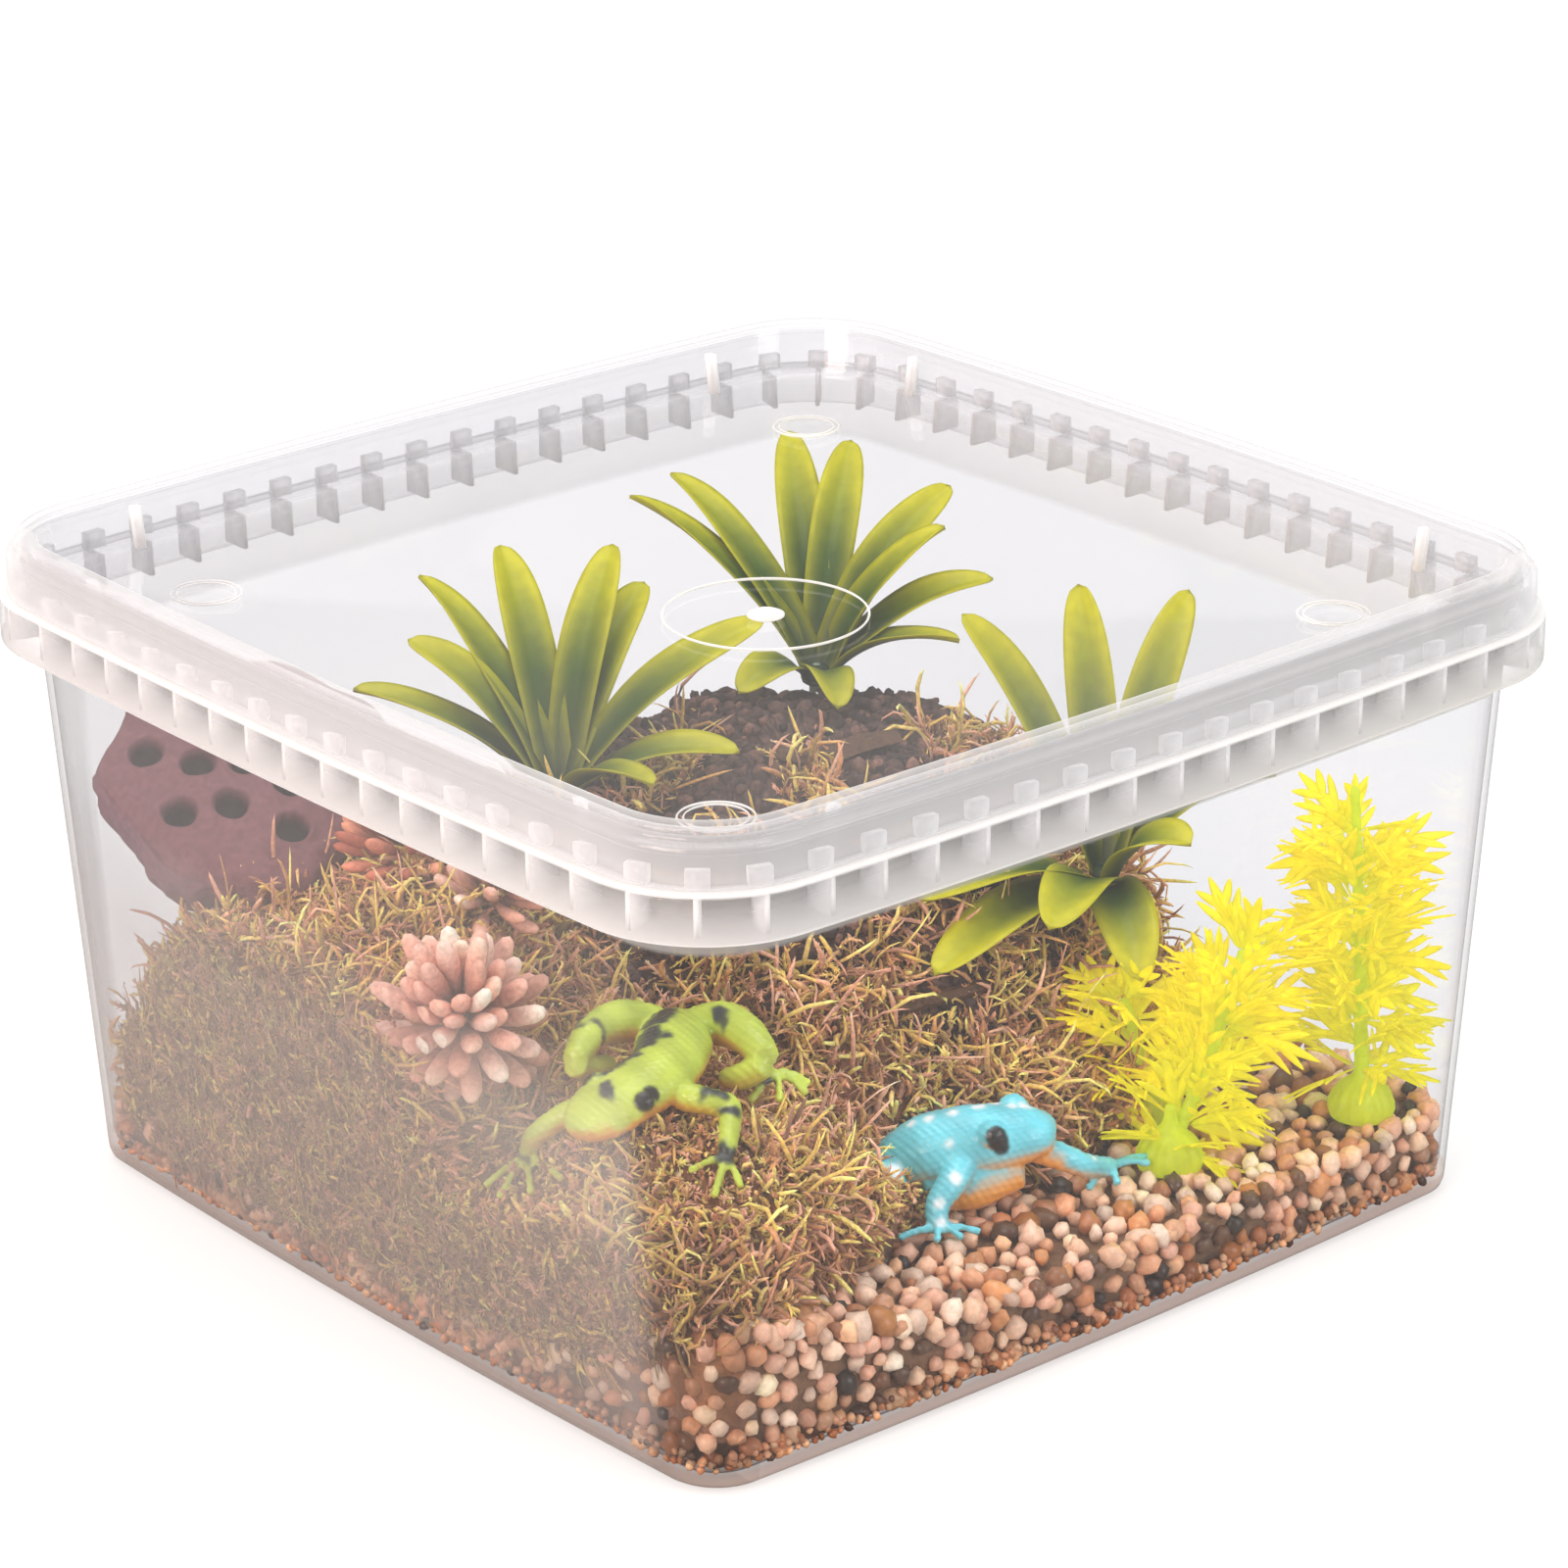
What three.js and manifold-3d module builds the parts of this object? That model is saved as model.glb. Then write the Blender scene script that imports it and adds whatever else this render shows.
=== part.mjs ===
import * as THREE from 'three';
import { mergeVertices } from 'three/addons/utils/BufferGeometryUtils.js';
import Module from 'manifold-3d';

const wasm = await Module();
wasm.setup();
const V = (x, y, z) => new THREE.Vector3(x, y, z);
const up = V(0, 0, 1);

// Sizes in millimetres. A half size is from the middle of the tub to the middle of a side.
const collarHalf = 98;
const cornerRadius = 24.5;
const cornerCentre = collarHalf - cornerRadius;
const sideBow = 1.5;
const collarFoot = 95.9;
const collarHeight = 7.9;
const collarTop = collarFoot + collarHeight;
const collarSkin = 0.9;
const wallSkin = 1.1;
const wallInsetTop = 5.9;
const wallInsetFoot = 12.8;
const wallHalfTop = collarHalf - wallInsetTop;
const wallHalfFoot = collarHalf - wallInsetFoot;
const footRound = 2.6;
const footRecess = 0.8;
const footRingWidth = 6.4;
const footRingInset = 2.8;
const footOuter = wallHalfFoot - footRingInset;
const footInner = footOuter - footRingWidth;
const rimHeight = 7.5;
const rimTop = collarTop + rimHeight;
const rimInset = 5.2;
const rimInner = collarHalf - rimInset;
const rimSkin = 0.9;
const rimBead = 0.5;
const rimBeadDrop = 1.9;
const rimBeadTop = rimTop - rimBeadDrop;
const rimBeadHeight = 1.2;
const edgeEase = 0.3;
const ribPitch = 9.85;
const ribsEachSide = 15;
const ribSkin = 0.9;
const ribFootGap = 1.1;
const windowRibHeight = 3.6;
const windowRibGap = 0.7;
const cornerRibShares = [0.2, 0.5, 0.8];
const overrun = 0.4;

// Lid sizes
const lidRise = 1.95;
const lidTop = rimTop + lidRise;
const lidSkin = 0.9;
const skirtStep = 1.6;
const skirtHalf = collarHalf - skirtStep;
const ridgeOuter = skirtHalf - skirtStep;
const ridgeWidth = 3.6;
const ridgeInner = ridgeOuter - ridgeWidth;
const ridgeEase = 0.7;
const shoulderDepth = 2.05;
const shoulderTop = lidTop - shoulderDepth;
const shoulderDrop = 1.0;
const plugDraft = 1.1;
const panelEdge = collarTop;
const panelSag = 3.6;
const fitGap = 0.3;
const lugInset = 10.5;
const lugPlace = cornerCentre - lugInset;
const lugDepth = 1.7;
const lugWidth = 1.6;
const centreRingRadius = 17;
const cornerRingRadius = 5.8;
const cornerRingInset = 8;
const cornerRingPlace = cornerCentre - cornerRingInset;
const ringLine = 0.5;
const gateRadius = 3.2;
const gateHeight = 0.7;
const lugDrop = 2.4;

// Filling sizes
const riseShares = {
  bed: 0.1564, mound: 0.5214, bank: 0.4171, corner: 0.292, heap: 0.1356, dip: 0.0574,
  lump: 0.0146, moss: 0.01564, soil: 0.0271,
};
const reachShares = {
  mound: 0.694, bank: 0.4286, corner: 0.3265, heap: 0.357, dip: 0.306, lump: 0.2755,
  moundY: 0.85, bankX: 0.81, heapY: 0.66, dipY: 2.6,
};
const bedDepth = riseShares.bed * collarFoot;
const moundRise = riseShares.mound * collarFoot;
const moundReach = reachShares.mound * collarHalf;
const bankRise = riseShares.bank * collarFoot;
const bankReach = reachShares.bank * collarHalf;
const cornerRise = riseShares.corner * collarFoot;
const cornerReach = reachShares.corner * collarHalf;
const heapRise = riseShares.heap * collarFoot;
const heapReach = reachShares.heap * collarHalf;
const dipDepth = riseShares.dip * collarFoot;
const dipReach = reachShares.dip * collarHalf;
const lumpRise = riseShares.lump * collarFoot;
const lumpLength = reachShares.lump * collarHalf;
const lumpShares = [
  [0.3, 1, 0.4], [1.7, 0.95, 2.1], [2.6, 0.85, 4], [0.9, 0.8, 5.2], [2.1, 0.9, 1.3],
];
const mossLift = riseShares.moss * collarFoot;
const soilLift = riseShares.soil * collarFoot;

const materials = {
  clear: { color: 0xdfe5e8, roughness: 0.12, transparent: true, opacity: 0.3 },
  clearLid: { color: 0xe6ebee, roughness: 0.1, transparent: true, opacity: 0.3 },
  gravel: { color: 0xcdb39c, roughness: 0.8 },
  soil: { color: 0x4a352f, roughness: 0.95 },
  moss: { color: 0x76683a, roughness: 1 },
  pod: { color: 0x6b4448, roughness: 0.85 },
  cone: { color: 0xb98371, roughness: 0.85 },
  rustCone: { color: 0x9c5540, roughness: 0.85 },
  lime: { color: 0x9fcf4a, roughness: 0.45 },
  sky: { color: 0x4ec3d8, roughness: 0.45 },
  leaf: { color: 0x6f9a2c, roughness: 0.5 },
  stalk: { color: 0x8a9a86, roughness: 0.5 },
  weed: { color: 0xc9dc2a, roughness: 0.45 },
  twig: { color: 0x5a3f2c, roughness: 0.9 },
};

// Closed skins

/** A ring's middle, as the point that closes the skin's end. */
function endPoint(ring) {
  if (ring.length === 1) return [];
  return [[ring.reduce((sum, p) => sum.add(p), V(0, 0, 0)).divideScalar(ring.length)]];
}

/** Closed skin through rings of equal count. A ring may be one point. */
function loft(sections) {
  const rings = [...endPoint(sections[0]), ...sections, ...endPoint(sections[sections.length - 1])];
  const spots = [];
  const faces = [];
  const starts = rings.map((ring) => {
    const start = spots.length;
    for (const p of ring) spots.push(p);
    return start;
  });
  for (let k = 0; k < rings.length - 1; k += 1) {
    const a = rings[k].length;
    const b = rings[k + 1].length;
    const n = Math.max(a, b);
    for (let i = 0; i < n; i += 1) {
      const j = (i + 1) % n;
      const p = starts[k] + (a === 1 ? 0 : i);
      const q = starts[k] + (a === 1 ? 0 : j);
      const r = starts[k + 1] + (b === 1 ? 0 : i);
      const s = starts[k + 1] + (b === 1 ? 0 : j);
      if (a > 1) faces.push(p, q, s);
      if (b > 1) faces.push(p, s, r);
    }
  }
  return skin(spots, faces);
}

/** Closed geometry from points and faces, turned so that its faces look out. */
function skin(spots, faces) {
  const geometry = new THREE.BufferGeometry();
  const flat = spots.flatMap((p) => [p.x, p.y, p.z]);
  geometry.setAttribute('position', new THREE.Float32BufferAttribute(flat, 3));
  let volume = 0;
  for (let i = 0; i < faces.length; i += 3) {
    const [a, b, c] = [spots[faces[i]], spots[faces[i + 1]], spots[faces[i + 2]]];
    volume += a.dot(b.clone().cross(c));
  }
  const turned = [];
  for (let i = 0; i < faces.length; i += 3) {
    if (volume < 0) turned.push(faces[i], faces[i + 2], faces[i + 1]);
    else turned.push(faces[i], faces[i + 1], faces[i + 2]);
  }
  geometry.setIndex(turned);
  return geometry;
}

/** Cutting and joining form of a geometry. */
function solid(geometry) {
  const plain = geometry.clone();
  plain.deleteAttribute('normal');
  plain.deleteAttribute('uv');
  const joined = mergeVertices(plain);
  return new wasm.Manifold(new wasm.Mesh({
    numProp: 3,
    vertProperties: new Float32Array(joined.attributes.position.array),
    triVerts: new Uint32Array(joined.index.array),
  }));
}

function join(shapes) {
  return wasm.Manifold.union(shapes);
}

/** The largest connected body of a shape. */
function mainBody(shape) {
  const bodies = shape.decompose();
  return bodies.reduce((best, body) => (body.volume() > best.volume() ? body : best));
}

/** A shape grown on each side by a gap, about the middle of its box. */
function grown(shape, gap) {
  const { min, max } = shape.boundingBox();
  const middle = min.map((low, i) => (low + max[i]) / 2);
  const size = min.map((low, i) => max[i] - low);
  const scale = size.map((s) => (s + 2 * gap) / s);
  const back = middle.map((m) => -m);
  return shape.translate(back).scale(scale).translate(middle);
}

/** Whether two shapes' boxes come closer than a gap. */
function near(one, other, gap) {
  const a = one.boundingBox();
  const b = other.boundingBox();
  return a.min.every((low, i) => low - gap < b.max[i] && b.min[i] - gap < a.max[i]);
}

/** A shape less several others, whose working copies are let go at once. */
function less(shape, tools) {
  const tool = join(tools);
  const left = shape.subtract(tool);
  left.numTri();
  tool.delete();
  tools.forEach((one) => one.delete());
  return left;
}

/** A shape without what its neighbours fill, cleared by a gap. */
function cleared(shape, neighbours, gap) {
  let left = shape;
  for (const other of neighbours.filter((one) => near(shape, one, gap))) {
    const moved = [-gap, gap].flatMap((side) => (
      [[side, 0, 0], [0, side, 0], [0, 0, side]].map((shift) => other.translate(shift))));
    left = less(left, [grown(other, gap), other.translate([0, 0, 0]), ...moved]);
  }
  return mainBody(left);
}

/** A shape cut to sit on the grounds under it. */
function seated(shape, grounds, gap) {
  let left = shape;
  for (const ground of grounds) {
    left = less(left, [grown(ground, gap), ground.translate([0, 0, 0]), ground.translate([0, 0, gap])]);
  }
  return mainBody(left);
}

/** Round or flat bar along points, with widths and thicknesses for each point. */
function sweep(points, widths, depths, face, sides) {
  const rings = points.map((p, k) => {
    const before = points[Math.max(k - 1, 0)];
    const after = points[Math.min(k + 1, points.length - 1)];
    const along = after.clone().sub(before).normalize();
    const side = along.clone().cross(face).normalize();
    const out = side.clone().cross(along).normalize();
    if (widths[k] === 0) return [p];
    return Array.from({ length: sides }, (_, i) => {
      const turn = (2 * Math.PI * i) / sides;
      return p.clone()
        .addScaledVector(side, (widths[k] / 2) * Math.cos(turn))
        .addScaledVector(out, (depths[k] / 2) * Math.sin(turn));
    });
  });
  return solid(loft(rings));
}

/** Rod that narrows to its ends: its thickness follows shares along the way. */
function rod(points, thickness, thickShares, sides) {
  const sizes = thickShares.map((share) => share * thickness);
  const along = points[points.length - 1].clone().sub(points[0]).normalize();
  const face = Math.abs(along.z) > Math.SQRT1_2 ? V(1, 0, 0) : up;
  return sweep(points, sizes, sizes, face, sides);
}

/** Ball stretched to a size in each direction. */
function ball(at, size, sides) {
  const shape = new THREE.SphereGeometry(1 / 2, sides, Math.ceil(sides / 2));
  shape.scale(size.x, size.y, size.z);
  shape.translate(at.x, at.y, at.z);
  return solid(shape);
}

// Rounded square outline with bowed sides
const cornerSteps = 5;
const sideSteps = 4;
const leastHalf = footInner;

/** Places round the square outline: middle, outward direction, and way along a side. */
function cornerSpot(k, share) {
  const turn = (k - 1 + share) * (Math.PI / 2);
  const sx = k === 0 || k === 1 ? 1 : -1;
  const sy = k === 1 || k === 2 ? 1 : -1;
  return {
    out: V(Math.cos(turn), Math.sin(turn), 0),
    at: (half) => V(sx * cornerCentre, sy * cornerCentre, 0)
      .addScaledVector(V(Math.cos(turn), Math.sin(turn), 0), half - sideBow - cornerCentre),
  };
}

function sideSpot(k, along) {
  const turn = k * (Math.PI / 2);
  const out = V(Math.cos(turn), Math.sin(turn), 0);
  const way = V(-Math.sin(turn), Math.cos(turn), 0);
  const sag = sideBow * (along / cornerCentre) ** 2;
  return {
    out,
    at: (half) => out.clone().multiplyScalar(half - sag).addScaledVector(way, along),
  };
}

const spots = [];
for (let k = 0; k < 4; k += 1) {
  for (let i = 0; i <= cornerSteps; i += 1) spots.push(cornerSpot(k, i / cornerSteps));
  for (let i = 1; i <= sideSteps; i += 1) {
    spots.push(sideSpot(k, cornerCentre * ((2 * i) / (sideSteps + 1) - 1)));
  }
}

function ringAt(half, z) {
  if (half === 0) return [V(0, 0, z)];
  const scale = Math.min(half / leastHalf, 1);
  return spots.map((spot) => {
    const p = spot.at(Math.max(half, leastHalf)).multiplyScalar(scale);
    return p.setZ(z);
  });
}

const shell = (profile) => loft(profile.map(([half, z]) => ringAt(half, z)));

// Tub
const floorTop = footRecess + wallSkin;
const draft = (wallHalfTop - wallHalfFoot) / (collarTop - footRound);
const wallHalf = (z) => wallHalfFoot + draft * (z - footRound);
const innerHalf = (z) => wallHalf(z) - wallSkin;
const rimOuter = rimInner + rimSkin;
const beadFoot = rimBeadTop - rimBeadHeight;
const ledgeUnder = collarTop - collarSkin;
const roundCut = footRound * (1 - Math.SQRT1_2);

const tubProfile = [
  [0, footRecess],
  [footInner - footRecess, footRecess],
  [footInner, 0],
  [footOuter, 0],
  [wallHalfFoot - roundCut, roundCut],
  [wallHalfFoot, footRound],
  [wallHalf(ledgeUnder), ledgeUnder],
  [collarHalf - collarSkin, ledgeUnder],
  [collarHalf - collarSkin, collarFoot],
  [collarHalf, collarFoot],
  [collarHalf, collarTop - edgeEase],
  [collarHalf - edgeEase, collarTop],
  [rimOuter, collarTop],
  [rimOuter, beadFoot],
  [rimOuter + rimBead, rimBeadTop - rimBeadHeight / 2],
  [rimOuter, rimBeadTop],
  [rimOuter, rimTop - edgeEase],
  [rimOuter - edgeEase, rimTop],
  [rimInner, rimTop],
  [rimInner, collarTop + wallSkin],
  [innerHalf(ledgeUnder), ledgeUnder],
  [innerHalf(floorTop + footRound), floorTop + footRound],
  [innerHalf(floorTop) - roundCut, floorTop + roundCut],
  [footOuter, floorTop],
  [0, floorTop],
];

/** Upright fin across the outline between two half sizes. */
function fin(spot, inner, outer, low, high, skinWidth) {
  const shape = new THREE.BoxGeometry(outer - inner, skinWidth, high - low);
  shape.rotateZ(Math.atan2(spot.out.y, spot.out.x));
  const p = spot.at((inner + outer) / 2);
  shape.translate(p.x, p.y, (low + high) / 2);
  return solid(shape);
}

const ribSpots = [];
for (let k = 0; k < 4; k += 1) {
  for (const share of cornerRibShares) ribSpots.push(cornerSpot(k, share));
  for (let i = 0; i < ribsEachSide; i += 1) {
    ribSpots.push(sideSpot(k, (i - (ribsEachSide - 1) / 2) * ribPitch));
  }
}
const webFoot = collarFoot + ribFootGap;
const webs = ribSpots.map((spot) => fin(
  spot, wallHalf(webFoot) - wallSkin / 2, collarHalf - collarSkin / 2,
  webFoot, ledgeUnder + overrun, ribSkin));
const windowRibs = ribSpots.map((spot) => fin(
  spot, rimOuter - rimSkin / 2, skirtHalf - lidSkin - windowRibGap,
  collarTop - overrun, collarTop + windowRibHeight, ribSkin));
const tub = join([solid(shell(tubProfile)), ...webs, ...windowRibs]);

// Lid
const skirtFoot = collarTop + fitGap;
const plugFoot = ridgeInner - plugDraft;
const sagAt = (share) => panelEdge - panelSag * (1 - share * share);
const panelShares = [0.35, 0.7];
const shoulderInside = shoulderTop - shoulderDrop - lidSkin;
const lidProfile = [
  [0, sagAt(0)],
  ...panelShares.map((share) => [share * plugFoot, sagAt(share)]),
  [plugFoot - edgeEase, panelEdge],
  [ridgeInner, lidTop - ridgeEase],
  [ridgeInner + ridgeEase, lidTop],
  [ridgeOuter - ridgeEase, lidTop],
  [ridgeOuter, lidTop - ridgeEase],
  [ridgeOuter, shoulderTop],
  [skirtHalf - edgeEase, shoulderTop - shoulderDrop / 2],
  [skirtHalf, shoulderTop - shoulderDrop],
  [skirtHalf, skirtFoot],
  [skirtHalf - lidSkin, skirtFoot],
  [skirtHalf - lidSkin, shoulderInside],
  [rimOuter + fitGap, shoulderTop - lidSkin],
  [rimOuter + fitGap, lidTop - lidSkin],
  [ridgeInner + lidSkin, lidTop - lidSkin],
  [plugFoot + lidSkin, panelEdge - lidSkin / 2],
  [plugFoot, panelEdge - lidSkin],
  ...panelShares.map((share) => [share * plugFoot, sagAt(share) - lidSkin]).reverse(),
  [0, sagAt(0) - lidSkin],
];

/** Raised line in a circle. */
function circleLine(x, y, z, radius, steps) {
  const points = [
    new THREE.Vector2(radius - ringLine / 2, -ringLine),
    new THREE.Vector2(radius + ringLine / 2, -ringLine),
    new THREE.Vector2(radius + ringLine / 2, ringLine),
    new THREE.Vector2(radius - ringLine / 2, ringLine),
    new THREE.Vector2(radius - ringLine / 2, -ringLine),
  ];
  const shape = new THREE.LatheGeometry(points, steps);
  shape.rotateX(Math.PI / 2);
  shape.translate(x, y, z);
  return solid(shape);
}

const lugSpots = [];
for (let k = 0; k < 4; k += 1) {
  lugSpots.push(sideSpot(k, lugPlace), sideSpot(k, -lugPlace));
}
const lugs = lugSpots.map((spot) => fin(
  spot, plugFoot - lugDepth, ridgeInner - lidSkin / 3,
  panelEdge - lidSkin / 2, lidTop - lugDrop, lugWidth));
const cornerSag = sagAt(cornerRingPlace / plugFoot);
const cornerRings = lugSpots.slice(0, 4).map((_, k) => {
  const sx = k < 2 ? 1 : -1;
  const sy = k % 2 === 0 ? 1 : -1;
  return circleLine(sx * cornerRingPlace, sy * cornerRingPlace, cornerSag, cornerRingRadius, 14);
});
const gate = ball(V(0, 0, sagAt(0)), V(2 * gateRadius, 2 * gateRadius, 2 * gateHeight), 12);
const centreRing = circleLine(0, 0, sagAt(0) + ringLine / 4, centreRingRadius, 24);
const lid = join([solid(shell(lidProfile)), ...lugs, ...cornerRings, centreRing, gate]);

// Ground inside the tub
const bump = (x, y, cx, cy, rx, ry, power) => {
  const r = ((x - cx) / rx) ** 2 + ((y - cy) / ry) ** 2;
  return Math.exp(-(r ** power));
};
const moundAt = { x: 0.21 * innerHalf(floorTop), y: 0.21 * innerHalf(floorTop) };
const bankAt = { x: -0.93 * innerHalf(floorTop), y: 0.28 * innerHalf(floorTop) };
const cornerAt = { x: -0.74 * innerHalf(floorTop), y: -0.6 * innerHalf(floorTop) };
const heapAt = { x: -innerHalf(floorTop), y: -innerHalf(floorTop) };
const dipAt = { x: -innerHalf(floorTop), y: 0.3 * innerHalf(floorTop) };

/** Low waves in several directions, each as a turn, a length share and a phase. */
const lumps = (x, y) => lumpShares.reduce((sum, [turn, share, phase]) => {
  const along = x * Math.cos(turn) + y * Math.sin(turn);
  return sum + share * Math.sin((2 * Math.PI * along) / (lumpLength * share) + phase);
}, 0) * (lumpRise / Math.sqrt(lumpShares.length));

const gravelTop = (x, y) => bedDepth
  + heapRise * bump(x, y, heapAt.x, heapAt.y, heapReach, heapReach * reachShares.heapY, 1)
  - dipDepth * bump(x, y, dipAt.x, dipAt.y, dipReach, dipReach * reachShares.dipY, 2);
const mound = (x, y) => moundRise
  * bump(x, y, moundAt.x, moundAt.y, moundReach, moundReach * reachShares.moundY, 2);
const bank = (x, y) => bankRise
  * bump(x, y, bankAt.x, bankAt.y, bankReach * reachShares.bankX, bankReach, 2);
const corner = (x, y) => cornerRise
  * bump(x, y, cornerAt.x, cornerAt.y, cornerReach, cornerReach, 1);
const mossTop = (x, y) => bedDepth + mossLift + mound(x, y) + bank(x, y) + corner(x, y)
  + lumps(x, y);
const soilTop = (x, y) => bedDepth - mossLift + (1 + soilLift / moundRise * 2) * mound(x, y)
  + bank(x, y) * soilShare + corner(x, y) * soilShare + lumps(y, x);
const soilShare = 0.55;

const bedRings = 7;
const groundRings = 11;

/** Ground that fills the tub up to a height over each place. */
function ground(height, foot, gap, ringCount) {
  const rings = [];
  const ringFor = (share, level) => spots.map((spot) => {
    let z = bedDepth;
    let place = spot.at(innerHalf(z) - gap);
    for (let turn = 0; turn < 3; turn += 1) {
      place = spot.at(innerHalf(z) - gap).multiplyScalar(share);
      z = level(place.x, place.y);
    }
    return place.setZ(z);
  });
  rings.push([V(0, 0, foot)]);
  const bendAt = floorTop + footRound + gap;
  const footHalf = foot < bendAt ? footOuter : innerHalf(foot);
  rings.push(ringAt(footHalf - gap, foot));
  if (foot < bendAt) rings.push(ringFor(1, () => bendAt));
  for (let k = ringCount; k > 0; k -= 1) rings.push(ringFor(k / ringCount, height));
  rings.push([V(0, 0, height(0, 0))]);
  return solid(loft(rings));
}

const gravel = ground(gravelTop, floorTop + fitGap, fitGap, bedRings);
const bedFoot = bedDepth * 0.45;
const soilRaw = ground(soilTop, bedFoot, fitGap, groundRings);
const mossRaw = ground(mossTop, bedFoot, fitGap, groundRings);

/** Upright prism through plan points given as shares of the floor's half size. */
function planPrism(shares, low, high) {
  const half = innerHalf(collarTop);
  const at = (z) => shares.map(([x, y]) => V(x * half, y * half, z));
  const middle = shares.reduce((sum, [x, y]) => sum.add(V(x * half, y * half, 0)), V(0, 0, 0))
    .divideScalar(shares.length);
  const rings = [[middle.clone().setZ(low)], at(low), at(high), [middle.clone().setZ(high)]];
  return solid(loft(rings));
}

const mossPlanShares = [
  [-1.1, -1.1], [-0.66, -0.8], [-0.3, -0.64], [0.1, -0.57], [0.42, -0.56], [0.66, -0.44],
  [0.78, -0.1], [0.6, 0.2], [0.3, 0.4], [-0.1, 0.6], [-0.6, 0.78], [-1.1, 0.8],
];
const soilPlanShares = [
  [-0.55, -0.3], [-0.25, -0.5], [0.1, -0.5], [0.45, -0.42], [0.72, -0.2],
  [0.84, 0.15], [0.8, 0.55], [0.5, 0.84], [0.05, 0.86], [-0.4, 0.7],
];
const plan = (shares) => planPrism(shares, 0, rimTop);
const soil = seated(soilRaw.intersect(plan(soilPlanShares)), [gravel], fitGap);
const moss = seated(mossRaw.intersect(plan(mossPlanShares)), [gravel, soil], fitGap);
const grounds = [gravel, soil, moss];
const surface = (x, y) => Math.max(gravelTop(x, y), soilTop(x, y), mossTop(x, y));

// Room inside the walls and under the lid
const room = solid(shell([
  [0, floorTop + fitGap],
  [footOuter - fitGap, floorTop + fitGap],
  [innerHalf(floorTop + footRound) - fitGap, floorTop + footRound],
  [innerHalf(sagAt(0)) - fitGap, sagAt(0) - lidSkin - fitGap],
  [0, sagAt(0) - lidSkin - fitGap],
]));

/** A place in the tub from shares: across the floor's half size and up to the collar's foot. */
const inRoom = (x, y, z) => V(x * innerHalf(floorTop), y * innerHalf(floorTop), z * collarFoot);

/** A length from a share of the collar's half size. */
const span = (share) => share * collarHalf;

/** A place over the ground from shares: across the floor's half size and up from the surface. */
const onGround = (x, y, rise) => {
  const place = inRoom(x, y, rise);
  return place.setZ(place.z + surface(place.x, place.y));
};

// Seed pod of a lotus
const podAt = onGround(-0.785, 0.5, 0.1763);
const podRadius = span(0.2194);
const podHeight = span(0.2755);
const podProfileShares = [
  [0.16, -1], [0.34, -0.82], [0.62, -0.55], [0.88, -0.25], [1, -0.06], [0.97, 0.06], [0.6, 0.13],
];
const podSides = 20;
const podLobeShare = 0.06;
const podHoleRadius = span(0.0194);
const podHoleDepth = span(0.0245);
const podHoleShares = [
  [0, 0.02], [0.3, 0.14], [-0.28, 0.2], [0.04, 0.38], [0.14, -0.3], [-0.3, -0.22],
  [0.62, 0.02], [0.45, -0.42], [-0.08, -0.62], [-0.62, -0.06], [-0.5, 0.5], [0.42, 0.55],
];
const podTilt = V(-0.42, -0.4, 1).normalize();

function podShape() {
  const rings = [[V(0, 0, -podHeight)]];
  for (const [wide, high] of podProfileShares) {
    rings.push(Array.from({ length: podSides }, (_, i) => {
      const turn = (2 * Math.PI * i) / podSides;
      const radius = podRadius * wide * (1 + podLobeShare * wide * Math.cos(5 * turn));
      return V(radius * Math.cos(turn), radius * Math.sin(turn), podHeight * high);
    }));
  }
  rings.push([V(0, 0, podHeight * podProfileShares[6][1])]);
  const body = solid(loft(rings));
  const holes = podHoleShares.map(([x, y]) => {
    const hole = new THREE.CylinderGeometry(podHoleRadius, podHoleRadius, podHoleDepth * 2, 8);
    hole.rotateX(Math.PI / 2);
    hole.translate(x * podRadius, y * podRadius, podHeight * podProfileShares[6][1]);
    return solid(hole);
  });
  return body.subtract(join(holes));
}

/** A shape turned so that its own up looks along a direction, then placed. */
function placed(shape, way, at) {
  const turn = new THREE.Quaternion().setFromUnitVectors(up, way);
  const matrix = new THREE.Matrix4().compose(at, turn, V(1, 1, 1));
  return shape.transform(matrix.elements);
}

const shapes = {};
const keep = (name, shape, neighbours = []) => {
  const inside = shape.intersect(room);
  shapes[name] = seated(cleared(inside, neighbours, fitGap), grounds, fitGap);
  return shapes[name];
};
keep('lotus_pod', placed(podShape(), podTilt, podAt));

// Cones with finger scales
const coneScales = 20;
const scaleLength = span(0.0867);
const scaleWidth = span(0.0306);
const scaleThickShares = [0.85, 1, 0];
const scaleWayShares = [0, 0.7, 1];
const goldenTurn = Math.PI * (3 - Math.sqrt(5));

/** Cone of blunt scales set in a spiral round a core. */
function coneShape(radius, height) {
  const core = ball(V(0, 0, 0), V(radius, radius, height), 8);
  const scales = Array.from({ length: coneScales }, (_, i) => {
    const share = (i + 0.5) / coneScales;
    const climb = Math.PI * (0.12 + 0.76 * share) - Math.PI / 2;
    const turn = i * goldenTurn;
    const out = V(Math.cos(turn) * Math.cos(climb), Math.sin(turn) * Math.cos(climb), Math.sin(climb));
    const start = V(out.x * radius * 0.3, out.y * radius * 0.3, (out.z * height) / 3);
    const end = start.clone().addScaledVector(out, scaleLength).addScaledVector(up, scaleLength * 0.25);
    const path = scaleWayShares.map((s) => start.clone().lerp(end, s));
    return rod(path, scaleWidth, scaleThickShares, 4);
  });
  return mainBody(join([core, ...scales]));
}

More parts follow.
